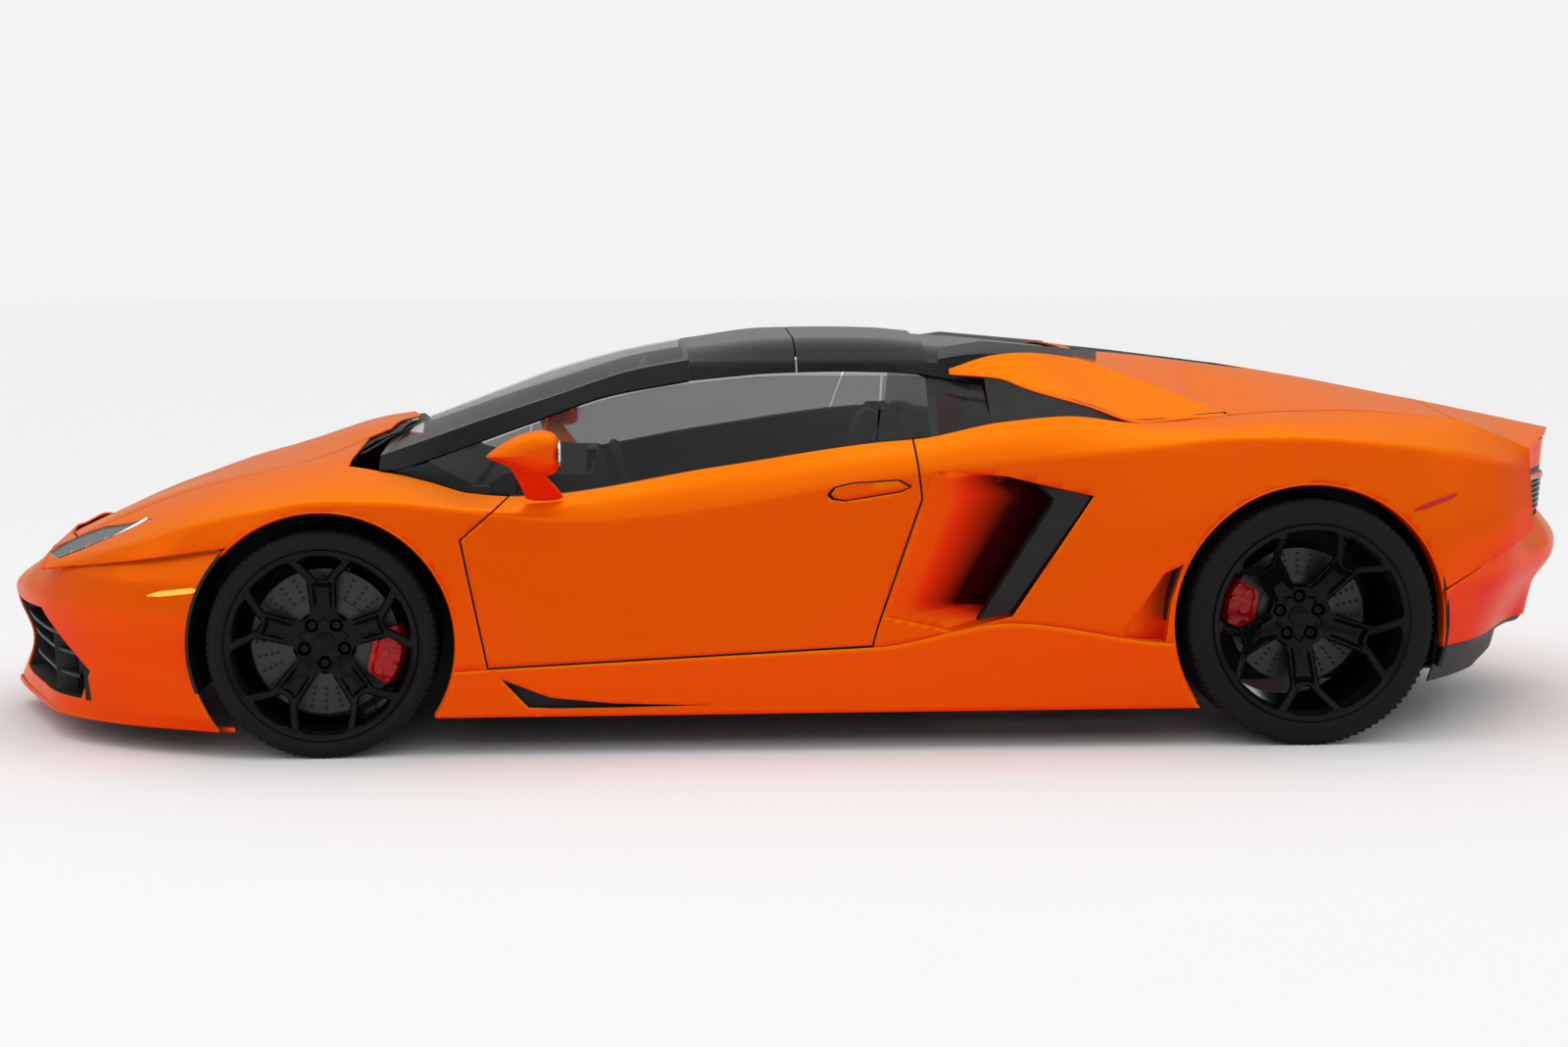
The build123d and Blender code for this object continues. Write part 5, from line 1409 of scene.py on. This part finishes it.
def ring_tree(name):
    """A Geometry Nodes tree that repeats a block round an axle, its sizes as named inputs."""
    tree = bpy.data.node_groups.get(name)
    if tree:
        return tree
    tree = bpy.data.node_groups.new(name, "GeometryNodeTree")
    face = tree.interface
    face.new_socket("Geometry", in_out="INPUT", socket_type="NodeSocketGeometry")
    for label, kind in (("Count", "NodeSocketInt"), ("Radius", "NodeSocketFloat"),
                        ("Block", "NodeSocketVector"), ("Centre", "NodeSocketVector"),
                        ("Finish", "NodeSocketMaterial")):
        face.new_socket(label, in_out="INPUT", socket_type=kind)
    face.new_socket("Geometry", in_out="OUTPUT", socket_type="NodeSocketGeometry")
    start, end = tree.nodes.new("NodeGroupInput"), tree.nodes.new("NodeGroupOutput")
    ring = node(tree, "GeometryNodeMeshCircle", {"Vertices": start.outputs["Count"],
                                                 "Radius": start.outputs["Radius"]})
    block = node(tree, "GeometryNodeMeshCube", {"Size": start.outputs["Block"]})
    index = node(tree, "GeometryNodeInputIndex").outputs[0]
    step = node(tree, "ShaderNodeMath", {0: 2 * math.pi, 1: start.outputs["Count"]},
                operation="DIVIDE").outputs[0]
    turn = node(tree, "ShaderNodeMath", {0: index, 1: step}, operation="MULTIPLY").outputs[0]
    way = node(tree, "ShaderNodeCombineXYZ", {"Z": turn}).outputs[0]
    laid = node(tree, "GeometryNodeInstanceOnPoints",
                {"Points": ring.outputs["Mesh"], "Instance": block.outputs["Mesh"], "Rotation": way})
    stood = node(tree, "GeometryNodeTransform", {"Geometry": laid.outputs["Instances"],
                                                 "Translation": start.outputs["Centre"],
                                                 "Rotation": (math.pi / 2, 0, 0)})
    real = node(tree, "GeometryNodeRealizeInstances", {"Geometry": stood.outputs["Geometry"]})
    dressed = node(tree, "GeometryNodeSetMaterial",
                   {"Geometry": real.outputs["Geometry"], "Material": start.outputs["Finish"]})
    tree.links.new(dressed.outputs["Geometry"], end.inputs["Geometry"])
    return tree


def ring_of_blocks(name, rows, finish, body):
    """Blocks repeated round an axle by Geometry Nodes, turned into one plain mesh. Sizes in metres."""
    tree = ring_tree("blocks_round_axle")
    parts = []
    for count, radius, block, centre in rows:
        seed = new_object(name + "_seed", bpy.data.meshes.new(name + "_seed"))
        mod = seed.modifiers.new("blocks", "NODES")
        mod.node_group = tree
        values = {"Count": count, "Radius": radius, "Block": block, "Centre": centre,
                  "Finish": finishes()[finish]}
        for item in tree.interface.items_tree:
            if item.in_out == "INPUT" and item.name in values:
                mod[item.identifier] = values[item.name]
        bpy.context.view_layer.update()
        result = evaluated_mesh(seed)
        parts.append((coordinates(result) / MM, [tuple(p.vertices) for p in result.polygons]))
        bpy.data.objects.remove(seed)
        bpy.data.meshes.remove(result)
    return piece(name, merged(*parts), finish, body, closed=True)


def caliper_shell(aim, disc, width, gap):
    """One brake caliper about its axle, y outwards from its outer face: a slotted block, swells and bolts."""
    near, far = disc - 72, disc + 22
    rows = []
    for lean in np.linspace(-24, 24, 49):
        end = abs(lean / 24)
        low, high = near + 14 * end ** 3, far - 9 * end ** 4
        face = -2.5 * (1 - math.cos(math.radians(22.5 * lean)))
        ring = [(low + 8, face - 12), (low + 20, face - 1), (low + 46, face), (high - 30, face - 3),
                (high - 14, face - 4),
                (high - 4, face - 18), (high, -width), (low, -width), (low, gap[0]), (disc + 5, gap[0]),
                (disc + 5, gap[1]), (low, gap[1])]
        a = math.radians(aim + lean)
        rows.append([(r * math.cos(a), y, r * math.sin(a)) for r, y in ring])
    parts = [capped(np.array(rows))]
    swells = [(lean, near + 38, PISTON, 24) for lean in (-16, 0, 16)]
    bolts = [(lean, r, BOLT, 6) for lean, r in ((-20, far - 22), (20, far - 22), (-8, far - 20),
                                                (8, far - 20))]
    for lean, r, profile, sides in swells + bolts:
        a = math.radians(aim + lean)
        parts.append(turned((r * math.cos(a), -3, r * math.sin(a)), (0, 1, 0), profile, sides))
    return merged(*parts)


class SUPERCAR_OT_wheels(CarOperator, bpy.types.Operator):
    """Builds the four wheels with their arms, caps and bolts, and the tyres with their tread."""

    bl_idname = "supercar.wheels"
    bl_label = "Wheels and tyres"

    def execute(self, context):
        sizes = context.scene.supercar_sizes
        for end, axle, out, width, tyre, rim, dish_depth, first_arm, disc, aim in WHEELS:
            front = end == "front"
            half = width / 2
            flat = half - 26
            verts, rings = wheel_face(rim, dish_depth, first_arm)
            face = Panel(verts, rings).shell(15.0, 1.5)
            cap = turned((0, -dish_depth - 4, 0), (0, 1, 0),
                         [(29, -8), (29, 4), (27, 7), (20, 8.5), (10, 9.5), (0.01, 10)], 48)
            nut = [(12, 0), (12, 9), (10, 12), (5, 12), (4, 8), (0.01, 8)]
            nuts = [turned((BOLT_CIRCLE * math.cos(a), -dish_depth - 12, BOLT_CIRCLE * math.sin(a)),
                           (0, 1, 0), nut, 18)
                    for a in [bolt_angle(first_arm, k) for k in range(5)]]
            barrel = spun([(rim, 6), (rim + 1, 2), (rim - 3, -3), (rim - 10, -5), (rim - 13, -16),
                           (rim - 20, -60),
                           (rim - 24, -width + 40), (rim - 3, -width + 20), (rim, -width + 17),
                           (rim - 4, -width + 22),
                           (rim - 28, -width + 44), (rim - 24, -60), (rim - 18, -14), (rim - 14, -1),
                           (rim - 6, 4)], 180)
            valve = turned(((rim - 22) * math.cos(1.2), -12, (rim - 22) * math.sin(1.2)), (-0.3, 1, -0.6),
                           [(4, 0), (4, 18), (5, 19), (5, 27), (3, 29), (0.01, 29)], 14)
            wheel = merged(face, cap, *nuts, barrel, valve)
            tread = [(tyre, flat)]
            for g in [flat * s for s in (0.62, 0.2, -0.2, -0.62)]:
                tread += [(tyre, g + 5), (tyre - 7, g + 4), (tyre - 7, g - 4), (tyre, g - 5)]
            tread.append((tyre, -flat))
            bulge = [(rim - 1, half - 14), (rim + 4, half - 6), (rim + 12, half - 1.5), (rim + 26, half),
                     (tyre - 20, half - 3), (tyre - 8, half - 10), (tyre - 2.5, half - 18)]
            profile = bulge + tread + [(r, -y) for r, y in bulge[::-1]]
            profile += [(rim - 4, -half + 16), (rim - 4, half - 16)]
            rubber = spun(profile, 200)
            for side, sign in SIDES:
                name = f"{end}_{side}"
                body = "wheel_" + name

                def at(y):
                    """A point on the axle in metres, from how far out it lies in millimetres."""
                    return axle[0] * MM, y * MM, axle[1] * MM

                piece("rim_" + name, place_round(wheel, sign, axle, out + half - 9), "rim", body,
                      "rim_" + name, closed=True)
                piece("tyre_" + name, place_round(rubber, sign, axle, out), "rubber", body, "tyre_" + name,
                      closed=True)
                blocks = [(sizes.tread_blocks, (tyre - 0.6) * MM, (0.0026, 0.012, flat * 0.30 * MM),
                           at(sign * out + y))
                          for y in (flat * 0.81, -flat * 0.81)]
                blocks += [(sizes.tread_blocks, (tyre - 6.2) * MM, (0.010, 0.011, 0.012), at(sign * out + y))
                           for y in (half - 16, -half + 16)]
                ring_of_blocks("tread_blocks_" + name, blocks, "rubber", body)
                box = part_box("brake_disc_" + name)
                edge = box[0][1] if sign < 0 else box[1][1]
                # The drilled holes are not cut: thin near-black blocks on the disc's face are painted shade
                # where the holes would be.
                holes = [(sizes.disc_holes, (disc - inset) * MM, (0.0065, 0.0065, 0.0012),
                          (axle[0] * MM, edge, axle[1] * MM))
                         for inset in (16, 34, 52, 68)]
                ring_of_blocks("painted_hole_shade_" + name, holes, "dark_vents_and_painted_shade", body)
                coat_node("brake_disc_" + name, "disc")
                carried = "caliper_" + name if front else "rear_calipers"
                inner, outer = sorted(abs(p[1]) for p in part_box(carried)) if front else REAR_CALIPER
                edges = sorted(abs(p[1]) for p in box)
                gap = [(edges[0] - outer) / MM - 2, (edges[1] - outer) / MM + 2]
                block = caliper_shell(aim, disc, (outer - inner) / MM, gap)
                piece("caliper_block_" + name, place_round(block, sign, axle, outer / MM), "caliper",
                      "knuckle_" + side if front else "root", carried, closed=True)
        return {"FINISHED"}


class SUPERCAR_OT_seats(CarOperator, bpy.types.Operator):
    """Builds the two padded seats: blown cushion and back, bolsters and head rest, with seams."""

    bl_idname = "supercar.seats"
    bl_label = "Seats"

    def execute(self, context):
        pads = (
            ("cushion", tilted_pad((-270, 174), (55, 130), 345, 92), 24, (0,)),
            ("back", tilted_pad((68, 262), (212, 700), 345, 84), 24, (0,)),
            ("bolster", tilted_pad((-262, 190), (60, 146), 62, 120), 14, (-197, 197)),
            ("back_bolster", tilted_pad((50, 300), (200, 690), 62, 118), 14, (-197, 197)),
            ("head", tilted_pad((214, 712), (262, 858), 210, 74), 14, (0,)),
        )
        for key, (verts, faces), swell, places in pads:
            mesh = blown("pad_" + key, verts, faces, swell)
            points = coordinates(mesh) / MM
            rings = [tuple(p.vertices) for p in mesh.polygons]
            for name, sign in SIDES:
                seat = merged(*[(points + (0, sign * SEAT_Y + dy, 0), rings) for dy in places])
                made = piece(f"seat_{name}_{key}", seat, "leather",
                             stands_for="seat_" + name if key == "cushion" else "", angle=60)
        seams = []
        for y in (-165, 165):
            for a, b in (((-262, 236), (50, 192)), ((62, 300), (196, 690))):
                t = np.linspace(0, 1, 30)[:, None]
                line = np.array((a[0], y, a[1])) + t * np.array((b[0] - a[0], 0, b[1] - a[1]))
                seams.append(tube(line + (0, 0, 6.0), 3.2))
        side = [(-290, 140), (-296, 210), (60, 205), (205, 700), (262, 872), (318, 872), (300, 690),
                (185, 140)]
        rear = [(190, 140), (322, 872), (300, 872), (168, 140)]
        backs = [plate(side, -232, -222), plate(side, 222, 232), plate(rear, -232, 232)]
        for name, sign in SIDES:
            for part, shapes, finish, bevel in (("seams", seams, "caliper", 0),
                                                ("shell", backs, "satin_black", 4)):
                placed = merged(*[(v + (0, sign * SEAT_Y, 0), f) for v, f in shapes])
                piece(f"seat_{name}_{part}", placed, finish, closed=True, bevel=bevel)
        return {"FINISHED"}


def tube(line, radius, count=8):
    """A round tube along a line of points."""
    line = np.asarray(line, float)
    grid = []
    for p, t in zip(line, np.gradient(line, axis=0)):
        _, side, up = frame_of(t)
        grid.append([p + radius * (math.cos(a) * side + math.sin(a) * up) for a in around(count)])
    return capped(np.array(grid))


def plate(outline, y0, y1):
    """A flat plate with a side-view outline between two distances across the car."""
    n = len(outline)
    points = [(x, y, z) for y in (y0, y1) for x, z in outline]
    return np.array(points, float), [tuple(range(n)), tuple(range(2 * n - 1, n - 1, -1))] + [
        (k, (k + 1) % n, n + (k + 1) % n, n + k) for k in range(n)]


def tilted_pad(low, high, width, thick):
    """A block between two side-view points with its edges rounded."""
    low, high = np.array(low, float), np.array(high, float)
    run = high - low
    along = run / np.linalg.norm(run)
    up = np.array((-along[1], along[0]))
    middle = (low + high) / 2
    half = np.array((np.linalg.norm(run) / 2, width / 2, thick / 2))
    n = 13
    verts, faces = [], []
    for axis in range(3):
        for sign in (-1, 1):
            base = len(verts)
            u, v = [k for k in range(3) if k != axis]
            for i in range(n):
                for j in range(n):
                    p = np.zeros(3)
                    p[axis], p[u], p[v] = sign, -1 + 2 * i / (n - 1), -1 + 2 * j / (n - 1)
                    q = p * half
                    radius = min(30.0, half.min() * 0.8)
                    core = np.clip(q, -(half - radius), half - radius)
                    d = q - core
                    length = np.linalg.norm(d)
                    q = core + d / max(length, 1e-6) * min(radius, length)
                    verts.append(np.array((middle[0] + along[0] * q[0] + up[0] * q[2], q[1],
                                           middle[1] + along[1] * q[0] + up[1] * q[2])))
            faces += [tuple(k + base for k in f) for f in grid_faces(n, n)]
    return np.array(verts), faces


def blown(name, verts, faces, cap):
    """A pad blown up by cloth pressure from its block, its swelling capped in millimetres."""
    mesh = bpy.data.meshes.new(name)
    mesh.from_pydata([tuple(v) for v in np.asarray(verts) * MM], [], faces)
    made = bmesh.new()
    made.from_mesh(mesh)
    bmesh.ops.remove_doubles(made, verts=made.verts, dist=0.0002)
    bmesh.ops.recalc_face_normals(made, faces=made.faces)
    made.to_mesh(mesh)
    made.free()
    obj = new_object(name, mesh)
    voxels = obj.modifiers.new("voxels", "REMESH")
    voxels.mode, voxels.voxel_size = "VOXEL", 0.009
    bpy.context.view_layer.update()
    start = evaluated_mesh(obj)
    obj.modifiers.clear()
    obj.data = start
    scene = bpy.context.scene
    before = coordinates(start)
    cloth = obj.modifiers.new("cloth", "CLOTH")
    cloth.settings.use_pressure = True
    cloth.settings.uniform_pressure_force = 4.0
    cloth.settings.effector_weights.gravity = 0.0
    for frame_number in range(1, 17):
        scene.frame_set(frame_number)
    result = evaluated_mesh(obj)
    scene.frame_set(1)
    move = coordinates(result) - before
    size = np.linalg.norm(move, axis=1, keepdims=True)
    move *= np.minimum(1.0, cap * MM / np.maximum(size, 1e-9))
    result.vertices.foreach_set("co", (before + move).ravel())
    obj.modifiers.clear()
    obj.data = start = result
    mesh = start.copy()
    bpy.data.objects.remove(obj)
    return mesh


class SUPERCAR_OT_cabin(CarOperator, bpy.types.Operator):
    """Builds the steering wheel, screens, inner mirror and wipers."""

    bl_idname = "supercar.cabin"
    bl_label = "Cabin"

    def execute(self, context):
        lean = math.radians(22)
        centre, aim = np.array((-500.0, -360.0, 650.0)), np.array((math.cos(lean), 0, math.sin(lean)))
        _, side, up = frame_of(aim)

        def outwards(a):
            return math.cos(a) * side + math.sin(a) * up

        grid = []
        for a in around(72):
            flat = 1 - 0.07 * max(0.0, -math.sin(a)) ** 3
            out = outwards(a) * flat
            grid.append([centre + out * (168 + 14 * math.cos(b)) + aim * 13 * math.sin(b)
                         for b in around(14)])
        rim = (np.array(grid).reshape(-1, 3), grid_faces(72, 14, wrap_rows=True, wrap_columns=True))
        hub = turned(centre - aim * 20, aim, [(66, 0), (66, 14), (56, 24), (30, 30), (0.01, 31)], 40)
        arms = [tube([centre + outwards(a) * r for r in np.linspace(40, 160, 8)], 11, 10)
                for a in (0.12, math.pi - 0.12, -math.pi / 2)]
        piece("steering_wheel_looks", merged(rim, hub, *arms), "trim", stands_for="steering_wheel",
              closed=True)
        screens = (slab_box(-640, -628, -500, -230, 712, 800), slab_box(-632, -622, -120, 120, 640, 772))
        piece("cabin_screens", merged(*screens), "gloss_black", closed=True, bevel=3)
        glass = turned((-470, 0, 1016), (1, 0, -0.2),
                       [(0.01, 4), (20, 4), (30, 2), (31, -6), (20, -16), (0.01, -18)], 30)
        glass[0][:, 1] *= 3.2
        piece("inner_mirror", glass, "gloss_black", closed=True)
        wipers = []
        for y0, y1, x0, x1 in ((-600, -190, -1300, -1168), (60, 520, -1185, -1200)):
            t = np.linspace(0, 1, 26)
            x, y = x0 + (x1 - x0) * t, y0 + (y1 - y0) * t
            z = np.array([surface_height(a, b) for a, b in zip(x, y)]) + 14
            line = np.stack([x, y, z], axis=1)
            wipers += [tube(line, 5.5), tube(line + (24, 0, -2), 4.0)]
        piece("wipers", merged(*wipers), "satin_black", closed=True)
        return {"FINISHED"}


def surface_height(x, y):
    """Rough height of the screen or hood at a plan point."""
    rows = [(abs(line[0][1]), line) for line in (SCREEN_CENTRE, SCREEN_MID, SCREEN_EDGE)]
    heights = [float(smooth_at(line, [x], 2)[0]) for _, line in rows]
    widths = [float(smooth_at(line, [x], 1)[0]) for _, line in rows]
    return float(np.interp(abs(y), widths, heights))


class SUPERCAR_OT_carriers(CarOperator, bpy.types.Operator):
    """Gives the structure, running gear and cabin nodes their finishes."""

    bl_idname = "supercar.carriers"
    bl_label = "Structure and running gear"

    def execute(self, context):
        by_name = {"engine": "dark_metal", "exhaust": "metal", "rear_calipers": "caliper",
                   "front_arms": "dark_metal",
                   "rear_arms": "dark_metal", "rear_uprights": "dark_metal", "dashboard": "trim",
                   "centre_console": "trim",
                   "luggage_tray": "trim", "hinge_posts": "dark_metal", "tub": "tub"}
        by_kind = {"caliper": "caliper", "knuckle": "dark_metal"}
        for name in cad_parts:
            coat_node(name, by_name.get(name) or by_kind.get(name.split("_")[0], "satin_black"))
        return {"FINISHED"}


class SUPERCAR_OT_studio(CarOperator, bpy.types.Operator):
    """Sets the pale floor, the soft lights and the camera."""

    bl_idname = "supercar.studio"
    bl_label = "Studio"

    def execute(self, context):
        scene = context.scene
        mesh = bpy.data.meshes.new("studio_floor")
        grid = [(r * math.cos(a), r * math.sin(a), 0) for r in (0.5, 4, 12, 40, 90) for a in around(64)]
        mesh.from_pydata(grid, [],
                         [f[::-1] for f in grid_faces(5, 64, wrap_columns=True)] + [tuple(range(64))])
        floor = new_object("studio_floor", mesh)
        mesh.polygons.foreach_set("use_smooth", [True] * len(mesh.polygons))
        mesh.materials.append(finishes()["floor"])
        world = bpy.data.worlds.new("studio_air")
        scene.world = world
        world.use_nodes = True
        sky = world.node_tree.nodes["Background"]
        sky.inputs["Color"].default_value = (1.0, 1.0, 1.0, 1)
        tree = world.node_tree
        way = node(tree, "ShaderNodeTexCoord").outputs["Generated"]
        height = node(tree, "ShaderNodeSeparateXYZ", {"Vector": way}).outputs["Z"]
        glow = node(tree, "ShaderNodeMapRange", {"Value": height, "To Min": 0.41, "To Max": 1.13}).outputs[0]
        seen = node(tree, "ShaderNodeLightPath").outputs["Is Camera Ray"]
        strength = node(tree, "ShaderNodeMix", {0: seen, 2: glow, 3: 0.9}, data_type="FLOAT").outputs[0]
        tree.links.new(strength, sky.inputs["Strength"])
        scene.view_settings.view_transform = "Standard"
        for name, place, target, size, power in (
            ("roof_softbox", (0, -0.4, 5.2), (0, 0, 0), (7.5, 3.2), 24),
            ("near_softbox", (-1.5, -7.0, 3.4), (0, 0, 0.5), (8.0, 1.6), 16),
            ("nose_softbox", (-7.5, -3.0, 2.6), (-1, 0, 0.5), (3.0, 1.4), 10),
            ("tail_softbox", (7.5, -2.0, 3.0), (1, 0, 0.6), (3.0, 1.6), 9),
        ):
            lamp = bpy.data.lights.new(name, "AREA")
            lamp.shape, lamp.size, lamp.size_y, lamp.energy = "RECTANGLE", size[0], size[1], power
            holder = new_object(name, lamp)
            holder.rotation_euler = (Vector(target) - Vector(place)).to_track_quat("-Z", "Y").to_euler()
            holder.location = place
        yaw, pitch, roll = math.radians(3.214), math.radians(5.921), math.radians(-0.283)
        ahead = np.array((math.sin(yaw) * math.cos(pitch), math.cos(yaw) * math.cos(pitch), -math.sin(pitch)))
        right = np.array((math.cos(yaw), -math.sin(yaw), 0.0))
        up = np.cross(right, ahead)
        c, s = math.cos(roll), math.sin(roll)
        right, up = right * c + up * s, -right * s + up * c
        eye = bpy.data.cameras.new("studio_camera")
        eye.sensor_fit, eye.sensor_width = "HORIZONTAL", 36.0
        eye.lens, eye.clip_end = 2557.6 / 1600 * eye.sensor_width, 100.0
        camera = new_object("studio_camera", eye)
        matrix = Matrix.Identity(4)
        for k in range(3):
            matrix[k][0], matrix[k][1], matrix[k][2] = right[k], up[k], -ahead[k]
        matrix[0][3], matrix[1][3], matrix[2][3] = -0.477, -7.729, 1.329
        camera.matrix_world = matrix
        scene.camera = camera
        return {"FINISHED"}


# ---------------------------------------------------------------- the add-on

class SupercarSizes(bpy.types.PropertyGroup):
    """Sizes a user would change."""

    tread_blocks: IntProperty(name="Tread blocks", description="Blocks round each shoulder of a tyre",
                              default=96, min=24)
    # The disc's holes are drawn as near-black blocks: painted shade, not cut holes.
    disc_holes: IntProperty(name="Disc holes", description="Drilled holes in each ring of a brake disc",
                            default=28, min=8)


class SupercarColours(bpy.types.PropertyGroup):
    """Colours a user would change."""

    # Painted light: the paint's tone where surfaces face up.
    paint_painted_light: FloatVectorProperty(name="Paint, facing up",
                                      description="Paint tone on surfaces that face the light", size=3,
                                      subtype="COLOR", default=(1.0, 0.225, 0.001), min=0, max=1)
    # The paint's own tone on side surfaces, and painted shade where they face down.
    paint_base_and_painted_shade: FloatVectorProperty(name="Paint, facing down",
                                    description="Paint tone on low and side surfaces", size=3,
                                    subtype="COLOR", default=(0.84, 0.028, 0.002), min=0, max=1)
    caliper: FloatVectorProperty(name="Calipers",
                                 description="Colour of the brake calipers and seat stitching", size=3,
                                 subtype="COLOR", default=(0.62, 0.006, 0.006), min=0, max=1)


OPERATORS = (
    SUPERCAR_OT_carriers, SUPERCAR_OT_wings, SUPERCAR_OT_hood, SUPERCAR_OT_doors, SUPERCAR_OT_quarters,
             SUPERCAR_OT_roof,
    SUPERCAR_OT_side_glass, SUPERCAR_OT_cover, SUPERCAR_OT_nose, SUPERCAR_OT_tail, SUPERCAR_OT_sills,
             SUPERCAR_OT_mirrors,
    SUPERCAR_OT_wheels, SUPERCAR_OT_seats, SUPERCAR_OT_cabin, SUPERCAR_OT_studio,
)


class SUPERCAR_PT_panel(bpy.types.Panel):
    """Lists the car's sizes, colours and building steps."""

    bl_label = "Supercar"
    bl_idname = "SUPERCAR_PT_panel"
    bl_space_type = "VIEW_3D"
    bl_region_type = "UI"
    bl_category = "Supercar"

    def draw(self, context):
        layout = self.layout
        for name in ("tread_blocks", "disc_holes"):
            layout.prop(context.scene.supercar_sizes, name)
        for name in ("paint_painted_light", "paint_base_and_painted_shade", "caliper"):
            layout.prop(context.scene.supercar_colours, name)
        for step in OPERATORS:
            layout.operator(step.bl_idname)


CLASSES = (SupercarSizes, SupercarColours, *OPERATORS, SUPERCAR_PT_panel)


def register():
    for cls in CLASSES:
        bpy.utils.register_class(cls)
    bpy.types.Scene.supercar_sizes = PointerProperty(type=SupercarSizes)
    bpy.types.Scene.supercar_colours = PointerProperty(type=SupercarColours)


def unregister():
    del bpy.types.Scene.supercar_colours
    del bpy.types.Scene.supercar_sizes
    for cls in reversed(CLASSES):
        bpy.utils.unregister_class(cls)


def main():
    register()
    for step in OPERATORS:
        group, name = step.bl_idname.split(".")
        getattr(getattr(bpy.ops, group), name)()


if __name__ == "__main__":
    main()
